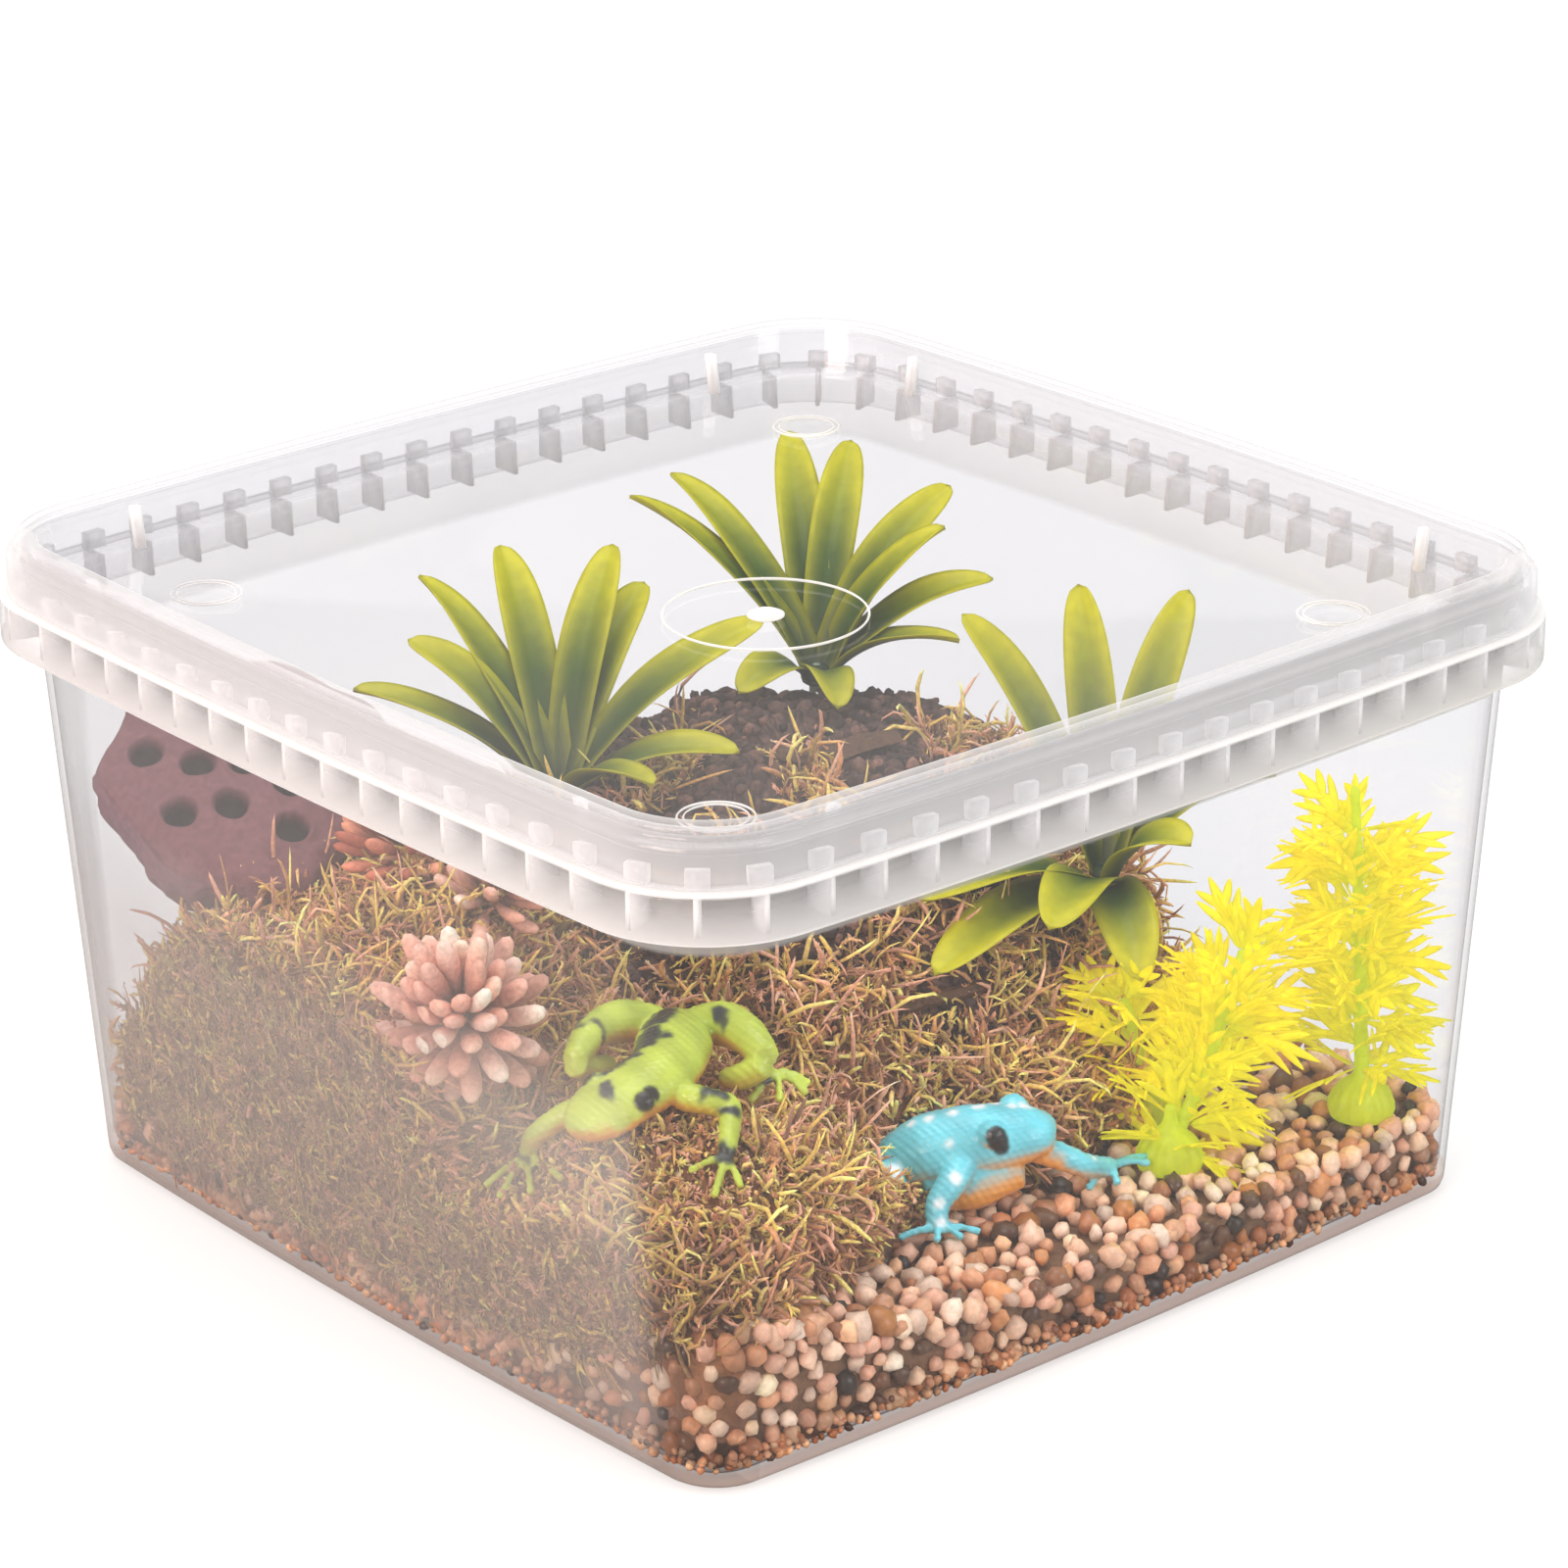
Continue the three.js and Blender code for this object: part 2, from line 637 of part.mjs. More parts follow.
const coneTable = {
  cone_front: {
    at: onGround(-0.892, -0.167, 0.0859), way: V(-0.5, -0.5, 0.7), radius: span(0.102), height: span(0.2245),
  },
  cone_upper: {
    at: onGround(-0.619, 0.095, 0.0657), way: V(0.2, -0.4, 0.9), radius: span(0.0714), height: span(0.1429),
  },
  cone_rust: {
    at: onGround(-0.678, 0.274, 0.0182), way: V(-0.3, 0.5, 0.8), radius: span(0.0816), height: span(0.1429),
  },
};
for (const [name, cone] of Object.entries(coneTable)) {
  keep(name, placed(coneShape(cone.radius, cone.height), cone.way.normalize(), cone.at),
    Object.values(shapes));
}

// Frogs: points in each frog's own frame, nose along +X, in shares of its length
const frogSpineShares = [
  [-0.5, 0, 0.02], [-0.42, 0, 0.05], [-0.2, 0, 0.12], [0.04, 0, 0.17],
  [0.26, 0, 0.19], [0.42, 0, 0.17], [0.5, 0, 0.15],
];
const frogWidthShares = [0, 0.2, 0.34, 0.36, 0.36, 0.26, 0];
const frogDepthShares = [0, 0.16, 0.26, 0.28, 0.22, 0.13, 0];
const frogEyeShares = [0.28, 0.14, 0.27];
const frogEyeSizeShare = 0.11;
const frogLegs = {
  armShares: [[0.16, 0.12, 0.1], [0.2, 0.3, 0.12], [0.36, 0.42, 0.02], [0.46, 0.44, -0.02]],
  legShares: [[-0.36, 0.1, 0.06], [-0.12, 0.36, 0.16], [-0.36, 0.42, 0.04], [-0.18, 0.56, -0.02]],
};
const limbThickShares = [1, 1, 0.75, 0.5];
const toeTurns = [-0.6, 0, 0.6];
const toeShare = 0.13;

/** Frog on four legs, with three toes on each foot. */
function frogShape(length) {
  const point = ([x, y, z], side) => V(x * length, y * length * side, z * length);
  const spine = frogSpineShares.map((p) => point(p, 1));
  const parts = [sweep(spine, frogWidthShares.map((s) => s * length),
    frogDepthShares.map((s) => s * length), up, 8)];
  for (const side of [-1, 1]) {
    parts.push(ball(point(frogEyeShares, side), V(1, 1, 1).multiplyScalar(frogEyeSizeShare * length), 6));
    for (const [limb, shares] of Object.entries(frogLegs)) {
      const thick = length * (limb === 'legShares' ? 0.13 : 0.1);
      const path = shares.map((p) => point(p, side));
      const end = path[path.length - 1];
      const way = end.clone().sub(path[path.length - 2]).setZ(0).normalize();
      const tip = end.clone().addScaledVector(way, thick / 4);
      parts.push(rod([...path, tip], thick, [...limbThickShares, 0], 6));
      for (const turn of toeTurns) {
        const out = way.clone().applyAxisAngle(up, turn);
        const from = end.clone().addScaledVector(out, -thick / 4);
        const to = end.clone().addScaledVector(out, toeShare * length);
        const path3 = [0, 0.3, 0.9, 1].map((s) => from.clone().lerp(to, s));
        parts.push(rod(path3, thick / 2, [0, 0.8, 0.9, 0], 4));
      }
    }
  }
  return mainBody(join(parts));
}

/** A shape turned about its own axes, nose to a heading, and set on the ground. */
function posed(shape, turns, at) {
  const euler = new THREE.Euler(turns[0], turns[1], turns[2], 'ZYX');
  const turn = new THREE.Quaternion().setFromEuler(euler);
  const matrix = new THREE.Matrix4().compose(at, turn, V(1, 1, 1));
  return shape.transform(matrix.elements);
}

const frogTable = {
  green_frog: { long: span(0.3878), turns: [0.1, 0.42, 3.05], at: onGround(-0.726, -0.535, 0.0392) },
  blue_frog: { long: span(0.3673), turns: [0, -0.12, -1.05], at: onGround(-0.202, -0.761, 0.0076) },
};
for (const [name, frog] of Object.entries(frogTable)) {
  keep(name, posed(frogShape(frog.long), frog.turns, frog.at), Object.values(shapes));
}

// Rosette plants: leaf tips as shares of a leaf span, from the crown
const leafSpan = span(0.5102);
const leafWidth = span(0.0837);
const leafThickness = 0.9;
const leafWidthShares = [0.6, 0.78, 1, 0.98, 0.68, 0];
const leafWayShares = [0, 0.2, 0.5, 0.76, 0.93, 1];
const leafArchShare = 0.14;
const hubRadius = 2.6;
const hubHeight = 1.6;
const stalkRadius = 1.3;
const crownSpread = 1.9;
const rosettes = {
  plant_back: {
    at: onGround(0.5, 0.428, 0.0272),
    lowerShares: [
      [0.45, -0.13, 0.49], [0.56, -0.26, 0.31], [0.29, -0.38, 0.18], [-0.19, -0.33, 0.05],
      [-0.37, -0.05, 0.07],
    ],
    upperShares: [
      [-0.24, 0.68, 0.52], [-0.02, 0.73, 0.54], [0.5, 0.72, 0.58], [0.6, 0.5, 0.58],
      [0.67, 0.07, 0.5],
    ],
  },
  plant_left: {
    at: onGround(-0.262, 0.333, 0.043),
    lowerShares: [
      [-0.46, 0.46, 0.38], [0.39, -0.43, 0.2], [0.06, -0.39, 0.16], [-0.23, 0.46, 0.5],
    ],
    upperShares: [
      [-0.03, 0.67, 0.58], [0.28, 0.64, 0.62], [0.56, 0.4, 0.62], [0.61, 0.3, 0.5],
      [0.7, -0.2, 0.48],
    ],
  },
  plant_right: {
    at: onGround(0.547, -0.393, 0.1278),
    lowerShares: [
      [0.1, -0.27, 0.2], [-0.44, -0.13, 0.14], [-0.6, 0.24, 0.06], [-0.66, 0.12, -0.04],
      [-0.26, -0.38, -0.02],
    ],
    upperShares: [
      [-0.12, 0.54, 0.8], [0.34, 0.49, 0.8], [0.62, 0.26, 0.78], [0.58, -0.1, 0.26],
    ],
  },
};

/** Strap leaf that arches from a crown to its tip. */
function leaf(from, reach) {
  const tip = from.clone().add(reach);
  const flat = V(reach.x, reach.y, 0).normalize();
  const bend = from.clone().lerp(tip, 0.5)
    .addScaledVector(up, leafArchShare * leafSpan)
    .addScaledVector(flat, -leafArchShare * leafSpan * 0.5);
  const curve = new THREE.QuadraticBezierCurve3(from, bend, tip);
  const path = leafWayShares.map((s) => curve.getPoint(s));
  const face = flat.clone().multiplyScalar(-Math.abs(reach.z)).addScaledVector(up, flat.dot(reach));
  const widths = leafWidthShares.map((s) => s * leafWidth);
  const depths = leafWidthShares.map((s) => (s === 0 ? 0 : leafThickness));
  widths[0] = leafWidthShares[0] * leafWidth;
  return sweep(path, widths, depths, face.normalize(), 4);
}

function hubShape(at, bore) {
  const outer = new THREE.CylinderGeometry(hubRadius, hubRadius, hubHeight, 10);
  outer.rotateX(Math.PI / 2);
  outer.translate(at.x, at.y, at.z);
  const hole = new THREE.CylinderGeometry(bore, bore, hubHeight * 2, 10);
  hole.rotateX(Math.PI / 2);
  hole.translate(at.x, at.y, at.z);
  return [solid(outer), solid(hole)];
}

function whorl(at, shares) {
  const [hub, hole] = hubShape(at, stalkRadius + fitGap);
  const blades = shares.map(([x, y, z]) => {
    const reach = V(x, y, z).multiplyScalar(leafSpan);
    const flat = V(x, y, 0).normalize();
    return leaf(at.clone().addScaledVector(flat, (hubRadius + stalkRadius) / 2), reach);
  });
  return join([hub, ...blades]).subtract(hole);
}

for (const [name, plant] of Object.entries(rosettes)) {
  const foot = plant.at.clone().setZ(surface(plant.at.x, plant.at.y) - hubHeight);
  const top = plant.at.clone().addScaledVector(up, hubHeight * crownSpread);
  const path = [foot, foot.clone().lerp(top, 0.05), foot.clone().lerp(top, 0.95), top];
  keep(`${name}_stalk`, rod(path, 2 * stalkRadius, [0, 1, 1, 0], 8), []);
  const others = () => Object.entries(shapes)
    .filter(([key]) => key !== `${name}_stalk`)
    .map(([, shape]) => shape);
  keep(`${name}_leaves_lower`, whorl(plant.at, plant.lowerShares), others());
  const high = plant.at.clone().addScaledVector(up, hubHeight + fitGap);
  keep(`${name}_leaves_upper`, whorl(high, plant.upperShares), others());
}

// Feathery water plants: whorls of forked needles threaded on a stem
const needleLength = span(0.1531);
const needleWidth = span(0.0173);
const needleFlatShare = 0.6;
const needlesEach = 6;
const needleLiftShare = 0.6;
const forkShare = 0.5;
const forkTurn = 0.55;
const weedStemRadius = 0.9;
const weedRingRadius = 1.9;
const weedRingHeight = 1.4;
const weedFootRadius = span(0.0571);
const weedFootHeight = span(0.0816);
const weedFootShares = [[0, 0], [0.86, 0], [1, 0.3], [0.86, 0.65], [0.4, 0.95], [0, 1]];
const weeds = {
  weed_front: { at: inRoom(0.357, -0.785, 0.156), reach: inRoom(0.226, 0.024, 0.334), whorls: 3 },
  weed_back: { at: inRoom(0.809, -0.869, 0.156), reach: inRoom(0.012, 0.059, 0.605), whorls: 4 },
  weed_low: { at: inRoom(0.47, -0.63, 0.15), reach: inRoom(-0.05, 0.05, 0.23), whorls: 1 },
};

function needle(from, way, length) {
  const to = from.clone().addScaledVector(way, length);
  const path = [0, 0.4, 1].map((s) => from.clone().lerp(to, s));
  const face = Math.abs(way.z) > Math.SQRT1_2 ? V(1, 0, 0) : up;
  const widths = [0, needleWidth, 0];
  const depths = [0, needleWidth * needleFlatShare, 0];
  return sweep(path, widths, depths, face, 3);
}

function needleWhorl(at, way, start) {
  const ring = new THREE.CylinderGeometry(weedRingRadius, weedRingRadius, weedRingHeight, 8);
  ring.rotateX(Math.PI / 2);
  const parts = [placed(solid(ring), way, at)];
  const side = way.clone().cross(V(0, 1, 0)).normalize();
  for (let i = 0; i < needlesEach; i += 1) {
    const out = side.clone().applyAxisAngle(way, start + (2 * Math.PI * i) / needlesEach);
    const lift = out.clone().addScaledVector(way, needleLiftShare).normalize();
    const from = at.clone().addScaledVector(out, weedRingRadius * 0.8);
    parts.push(needle(from, lift, needleLength));
    const fork = from.clone().addScaledVector(lift, needleLength * forkShare * 0.8);
    for (const turn of [-forkTurn, forkTurn]) {
      parts.push(needle(fork, lift.clone().applyAxisAngle(way, turn), needleLength * forkShare));
    }
  }
  return join(parts);
}

for (const [name, weed] of Object.entries(weeds)) {
  const way = weed.reach.clone().normalize();
  const top = weed.at.clone().add(weed.reach);
  const stem = [0, 0.02, 0.9, 1].map((s) => weed.at.clone().lerp(top, s));
  const stemShape = rod(stem, 2 * weedStemRadius, [0, 1, 0.8, 0], 6);
  const bell = new THREE.LatheGeometry(weedFootShares.map(([wide, high]) => (
    new THREE.Vector2(wide * weedFootRadius, high * weedFootHeight))), 12);
  bell.rotateX(Math.PI / 2);
  bell.translate(weed.at.x, weed.at.y, weed.at.z);
  keep(`${name}_stem`, join([stemShape, solid(bell)]));
  const bore = [-0.2, 0, 1, 1.2].map((s) => weed.at.clone().lerp(top, s));
  const boreShape = rod(bore, 2 * (weedStemRadius + fitGap), [0, 1, 1, 0], 6);
  const others = () => Object.entries(shapes)
    .filter(([key]) => key !== `${name}_stem`)
    .map(([, shape]) => shape);
  for (let i = 0; i < weed.whorls; i += 1) {
    const share = weed.whorls > 1 ? 0.24 + (0.64 * i) / (weed.whorls - 1) : 0.75;
    const at = weed.at.clone().lerp(top, share);
    const shape = needleWhorl(at, way, i * 0.45).subtract(boreShape);
    keep(`${name}_whorl_${i + 1}`, shape, others());
  }
}

// Twigs and bark lying on the moss
const twigThickness = span(0.0265);
const barkWidthShare = 3;
const twigThickShares = [0, 0.8, 1, 0.9, 0.7, 0];
const twigWayShares = [0, 0.04, 0.35, 0.7, 0.96, 1];
const twigRise = span(0.0184);
const twigs = {
  twig_front: { from: inRoom(-0.024, -0.405, 0), to: inRoom(0.262, -0.452, 0) },
  twig_left: { from: inRoom(-0.38, -0.05, 0), to: inRoom(-0.12, -0.27, 0) },
  bark_chip: { from: inRoom(0.095, 0.095, 0), to: inRoom(0.357, 0, 0) },
};
for (const [name, twig] of Object.entries(twigs)) {
  const path = twigWayShares.map((s) => {
    const p = twig.from.clone().lerp(twig.to, s);
    return p.setZ(surface(p.x, p.y) + twigRise);
  });
  const wide = name === 'bark_chip' ? barkWidthShare : 1;
  const widths = twigThickShares.map((s) => s * twigThickness * wide);
  const depths = twigThickShares.map((s) => s * twigThickness);
  keep(name, sweep(path, widths, depths, up, 6), Object.values(shapes));
}

// Assembly
const looks = {
  tub: 'clear', lid: 'clearLid', gravel_bed: 'gravel', soil_mound: 'soil', moss_cover: 'moss',
  lotus_pod: 'pod', cone_front: 'cone', cone_upper: 'cone', cone_rust: 'rustCone',
  green_frog: 'lime', blue_frog: 'sky',
};
const lookOf = (name) => {
  if (looks[name]) return looks[name];
  if (name.endsWith('_stalk')) return 'stalk';
  if (name.startsWith('plant_')) return 'leaf';
  if (name.startsWith('weed_')) return 'weed';
  return 'twig';
};

function piece(name, shape) {
  const mesh = shape.getMesh();
  const geometry = new THREE.BufferGeometry();
  geometry.setAttribute('position', new THREE.BufferAttribute(mesh.vertProperties, 3));
  geometry.setIndex(new THREE.BufferAttribute(mesh.triVerts, 1));
  geometry.computeVertexNormals();
  const look = lookOf(name);
  const material = new THREE.MeshStandardMaterial({ name: look, ...materials[look] });
  const node = new THREE.Mesh(geometry, material);
  node.name = name;
  return node;
}

const faunarium = new THREE.Group();
faunarium.name = 'faunarium';
const all = {
  tub, lid, gravel_bed: gravel, soil_mound: soil, moss_cover: moss, ...shapes,
};
for (const [name, shape] of Object.entries(all)) faunarium.add(piece(name, shape));

export default faunarium;
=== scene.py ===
"""A clear square faunarium with its lid, and the little landscape inside it."""
import math

import bpy
import numpy as np
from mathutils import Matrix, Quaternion, Vector, kdtree


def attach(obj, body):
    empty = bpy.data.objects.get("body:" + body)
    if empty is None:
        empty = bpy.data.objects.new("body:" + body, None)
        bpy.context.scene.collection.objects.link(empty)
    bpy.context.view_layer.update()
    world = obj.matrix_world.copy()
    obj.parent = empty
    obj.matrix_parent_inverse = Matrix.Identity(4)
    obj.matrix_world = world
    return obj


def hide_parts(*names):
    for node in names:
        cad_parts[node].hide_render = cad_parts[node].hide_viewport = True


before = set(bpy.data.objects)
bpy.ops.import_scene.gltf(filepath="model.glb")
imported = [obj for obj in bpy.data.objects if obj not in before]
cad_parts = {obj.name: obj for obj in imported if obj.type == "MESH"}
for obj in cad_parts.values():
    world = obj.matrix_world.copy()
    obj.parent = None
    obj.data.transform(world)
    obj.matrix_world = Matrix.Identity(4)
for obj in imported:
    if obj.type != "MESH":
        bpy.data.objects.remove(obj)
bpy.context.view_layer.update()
MM = 0.001

# A Mix node's colour sockets, by number
MIX_A, MIX_B, MIX_RESULT = 6, 7, 2


# Colours and nodes
def linear(hex_colour):
    """An sRGB hex value as linear red, green, blue and alpha 1."""
    channels = np.array([int(hex_colour[i:i + 2], 16) / 255 for i in (0, 2, 4)])
    lin = np.where(channels <= 0.04045, channels / 12.92, ((channels + 0.055) / 1.055) ** 2.4)
    return (*lin.tolist(), 1.0)


def palette(values):
    """Hex colours as rows of linear red, green and blue."""
    return np.array([linear(v)[:3] for v in values])


def node(tree, kind, at, settings=None, links=None):
    """Adds one shader node, with its settings by attribute or socket, and its links in. A link comes
    from a socket, or from a node's first output."""
    made = tree.nodes.new("ShaderNode" + kind)
    made.location = at
    for key, value in (settings or {}).items():
        if isinstance(key, str) and hasattr(made, key):
            setattr(made, key, value)
        else:
            made.inputs[key].default_value = value
    for socket, source in (links or {}).items():
        tree.links.new(source.outputs[0] if hasattr(source, "outputs") else source, made.inputs[socket])
    return made


def empty_material(name):
    """A material without any node yet, and its tree."""
    material = bpy.data.materials.new(name)
    material.use_nodes = True
    material.node_tree.nodes.clear()
    return material, material.node_tree


def clear_plastic(name, tint, gloss_rough, bend):
    """Light passes straight through and edges gleam. The tone attribute holds how milky a place is in
    red, how smoky in green, which is painted grey shade where the plastic bends light away, and in blue
    a painted reflection: how far it picks up the pebbles' colour, as a thick edge does.
    A slanting view crosses more plastic, so what passes is (1 - milk) to the power of the way through.
    The mirror share is the same from inside and outside."""
    material, tree = empty_material(name)
    tone = node(tree, "Attribute", (-1400, -300), {"attribute_name": "tone"})
    split = node(tree, "SeparateColor", (-1200, -300), {}, {"Color": tone.outputs["Color"]})
    smoked = node(tree, "Mix", (-1000, 200),
                  {"data_type": "RGBA", MIX_A: tint, MIX_B: linear("e7e7e7")},
                  {"Factor": split.outputs["Green"]})
    pebble_reflection = node(tree, "Mix", (-800, 200), {"data_type": "RGBA", MIX_B: linear("e0b294")},
                  {"Factor": split.outputs["Blue"], MIX_A: smoked.outputs[MIX_RESULT]})
    through = node(tree, "BsdfTransparent", (-600, 200), {}, {"Color": pebble_reflection.outputs[MIX_RESULT]})
    gloss = node(tree, "BsdfGlossy", (-600, 0), {"Color": (1, 1, 1, 1), "Roughness": gloss_rough})
    face = node(tree, "NewGeometry", (-1000, 400))
    index = node(tree, "MapRange", (-800, 400), {"To Min": bend, "To Max": 1 / bend},
                 {"Value": face.outputs["Backfacing"]})
    fresnel = node(tree, "Fresnel", (-600, 400), {}, {"IOR": index})
    shine = node(tree, "MixShader", (-300, 100), {}, {0: fresnel, 1: through, 2: gloss})
    pale = node(tree, "MapRange", (-1000, -250), {"To Min": 0.95, "To Max": 0.5},
                {"Value": split.outputs["Green"]})
    haze = node(tree, "BsdfTranslucent", (-600, -200), {}, {"Color": pale})
    veil = node(tree, "BsdfDiffuse", (-600, -350), {}, {"Color": pale})
    cloud = node(tree, "MixShader", (-300, -250), {0: 0.5}, {1: haze, 2: veil})
    clear = node(tree, "Math", (-1000, -500), {"operation": "SUBTRACT", 0: 1.0},
                 {1: split.outputs["Red"]})
    facing = node(tree, "LayerWeight", (-1200, -700), {"Blend": 0.5})
    straight = node(tree, "Math", (-1000, -700), {"operation": "SUBTRACT", 0: 1.06},
                    {1: facing.outputs["Facing"]})
    way = node(tree, "Math", (-800, -700), {"operation": "DIVIDE", 0: 1.0}, {1: straight})
    left = node(tree, "Math", (-600, -600), {"operation": "POWER"}, {0: clear, 1: way})
    both = node(tree, "MixShader", (0, 0), {}, {0: left, 1: cloud, 2: shine})
    node(tree, "OutputMaterial", (300, 0), {}, {"Surface": both})
    return material


def toned(name, roughness, grain_mm, bump_mm, spread, sheen=0.0, through=0.0, coat=0.0, glow=0.0):
    """Colour from the piece's own tone attribute, broken up by fine noise at a real grain size. Through
    is the share of light that passes a thin piece, and glow the light that a fluorescent pigment gives
    back."""
    material, tree = empty_material(name)
    tone = node(tree, "Attribute", (-900, 200), {"attribute_name": "tone"})
    place = node(tree, "TexCoord", (-1100, -100))
    noise = node(tree, "TexNoise", (-900, -100),
                 {"Scale": 1 / (grain_mm * MM), "Detail": 3.0, "Roughness": 0.6},
                 {"Vector": place.outputs["Object"]})
    shade = node(tree, "MapRange", (-700, -100),
                 {"From Min": 0.3, "From Max": 0.7, "To Min": 1 - spread, "To Max": 1 + spread},
                 {"Value": noise.outputs["Fac"]})
    colour = node(tree, "VectorMath", (-500, 100), {"operation": "SCALE"},
                  {"Vector": tone.outputs["Color"], "Scale": shade})
    bump = node(tree, "Bump", (-500, -250), {"Strength": 0.6, "Distance": bump_mm * MM},
                {"Height": noise.outputs["Fac"]})
    skin = node(tree, "BsdfPrincipled", (-250, 0),
                {"Roughness": roughness, "Sheen Weight": sheen, "Coat Weight": coat,
                 "Emission Strength": glow},
                {"Base Color": colour, "Normal": bump})
    if glow > 0:
        tree.links.new(colour.outputs[0], skin.inputs["Emission Color"])
    last = skin
    if through > 0:
        passed = node(tree, "BsdfTranslucent", (-250, -400), {}, {"Color": colour})
        last = node(tree, "MixShader", (50, 0), {0: through}, {1: skin, 2: passed})
    node(tree, "OutputMaterial", (300, 0), {}, {"Surface": last})
    return material


def plain(name, hex_colour, roughness, grain_mm, spread):
    """One colour from darker to lighter by a spread, broken up by noise of a real grain size."""
    material, tree = empty_material(name)
    place = node(tree, "TexCoord", (-900, 0))
    noise = node(tree, "TexNoise", (-700, 0), {"Scale": 1 / (grain_mm * MM), "Detail": 4.0},
                 {"Vector": place.outputs["Object"]})
    colour = palette([hex_colour])[0]
    ramp = node(tree, "ValToRGB", (-500, 0), {}, {"Fac": noise.outputs["Fac"]})
    for stop, position, share in zip(ramp.color_ramp.elements, (0.3, 0.7), (1 - spread, 1 + spread)):
        stop.position = position
        stop.color = (*np.clip(colour * share, 0, 1), 1)
    bump = node(tree, "Bump", (-400, -250), {"Strength": 0.5, "Distance": 0.2 * MM},
                {"Height": noise.outputs["Fac"]})
    skin = node(tree, "BsdfPrincipled", (-200, 0), {"Roughness": roughness},
                {"Base Color": ramp.outputs["Color"], "Normal": bump})
    node(tree, "OutputMaterial", (300, 0), {}, {"Surface": skin})
    return material


# Injection moulded polypropylene: clear across the flats, a little milky, with bright gleams on edges.
tub_plastic = clear_plastic("clear_polypropylene_tub", linear("fcfcfd"), 0.06, 1.45)
# The lid's thinner moulding has a weaker mirror, so that the plants stay plain to see from above.
lid_plastic = clear_plastic("clear_polypropylene_lid", linear("fdfdfe"), 0.05, 1.27)
# Gravel washed round by water: speckled stone with a thin gloss that gives each pebble a small light.
pebble_stone = toned("river_gravel", 0.45, 1.2, 0.12, 0.18, coat=0.35)
# What shows between the pebbles is shadow and dust, dull and brown.
pebble_shadow = toned("gravel_shadow", 0.9, 1.5, 0.3, 0.3)
# Bark mould is crumbled and dry: dark, rough and without any gleam.
bark_mould = toned("bark_mould", 0.95, 0.9, 0.3, 0.45)
# Dried moss is fibrous: dull, patchy, with a faint soft edge against the light.
dried_moss = toned("dried_moss", 0.9, 0.8, 0.1, 0.3, sheen=0.2)
# A dried seed pod has a leathery matt skin with fine mottling.
pod_skin = toned("dried_lotus_pod", 0.8, 1.1, 0.15, 0.22)
# Dried cone scales are matt wood, chalky at their ends.
cone_wood = toned("dried_cone_scale", 0.8, 0.9, 0.15, 0.22)
# Moulded vinyl with sprayed paint: an even satin skin with small soft highlights.
frog_paint = toned("painted_vinyl_frog", 0.32, 1.5, 0.08, 0.06, coat=0.25)
# Moulded polyethylene leaves: waxy, with light showing through the thin blades.
leaf_plastic = toned("moulded_leaf_polyethylene", 0.42, 2.5, 0.05, 0.1, through=0.35)
# Soft dyed polyethylene: half the light passes, and the fluorescent dye looks lit from inside, with a painted
# glow of its own colour that the lamps don't give.
weed_plastic = toned("soft_translucent_polyethylene", 0.35, 2.0, 0.04, 0.08, through=0.5, glow=0.34)
# Bark on a twig is dry and streaked: brown, matt and coarse.
twig_bark = plain("brown_twig_bark", "5a3f2c", 0.85, 0.8, 0.45)
# The plants' stalks are moulded in one dull colour, smooth with a soft gleam.
stalk_plastic = plain("grey_green_moulded_stalk", "8a9a86", 0.45, 2.0, 0.1)


# Mesh making
def make(name, verts, faces, material, stands_for, tone, slot, darkest=0.003, body="tub_body"):
    """A smooth mesh object from millimetre points and triangles, riding on a body. Its tone attribute
    holds a colour for each point, from the darkest up to 1."""
    mesh = bpy.data.meshes.new(name)
    verts = np.asarray(verts, np.float32) * MM
    faces = np.asarray(faces, np.int32)
    count, corners = faces.shape
    mesh.vertices.add(len(verts))
    mesh.vertices.foreach_set("co", verts.ravel())
    mesh.loops.add(count * corners)
    mesh.loops.foreach_set("vertex_index", faces.ravel())
    mesh.polygons.add(count)
    mesh.polygons.foreach_set("loop_start", np.arange(count, dtype=np.int32) * corners)
    mesh.update(calc_edges=True)
    mesh.polygons.foreach_set("use_smooth", np.full(count, True))
    colours = mesh.color_attributes.new("tone", "FLOAT_COLOR", "POINT")
    rgba = np.ones((len(verts), 4), np.float32)
    rgba[:, :3] = np.clip(tone, darkest, 1)
    colours.data.foreach_set("color", rgba.ravel())
    piece = bpy.data.objects.new(name, mesh)
    bpy.context.scene.collection.objects.link(piece)
    mesh.materials.append(material)
    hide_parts(stands_for)
    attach(piece, body)
    return piece


def strip_faces(rings, sides, start=0):
    """Triangles between rings of equal count, closed round."""
    i, j = np.meshgrid(np.arange(rings - 1), np.arange(sides), indexing="ij")
    a = start + i * sides + j
    b = start + i * sides + (j + 1) % sides
    c = a + sides
    d = b + sides
    return np.concatenate([np.stack([a, b, d], -1).reshape(-1, 3), np.stack([a, d, c], -1).reshape(-1, 3)])


def capped(rings, sides):
    """Triangles of a tube of rings, with a tip point before and after: tip, rings, tip."""
    body = strip_faces(rings, sides, 1)
    j = np.arange(sides)
    k = (j + 1) % sides
    first = np.stack([np.zeros(sides, int), 1 + k, 1 + j], -1)
    base = 1 + (rings - 1) * sides
    last = np.stack([base + j, base + k, np.full(sides, 1 + rings * sides)], -1)
    return np.concatenate([first, body, last])


def unit(vectors, spare=0.0):
    """Vectors brought to length 1 along the last axis; a small spare length lets a zero stay zero."""
    return vectors / (np.linalg.norm(vectors, axis=-1, keepdims=True) + spare)


def round_turn(steps):
    """Angles once round, in even steps."""
    return np.arange(steps) * 2 * np.pi / steps


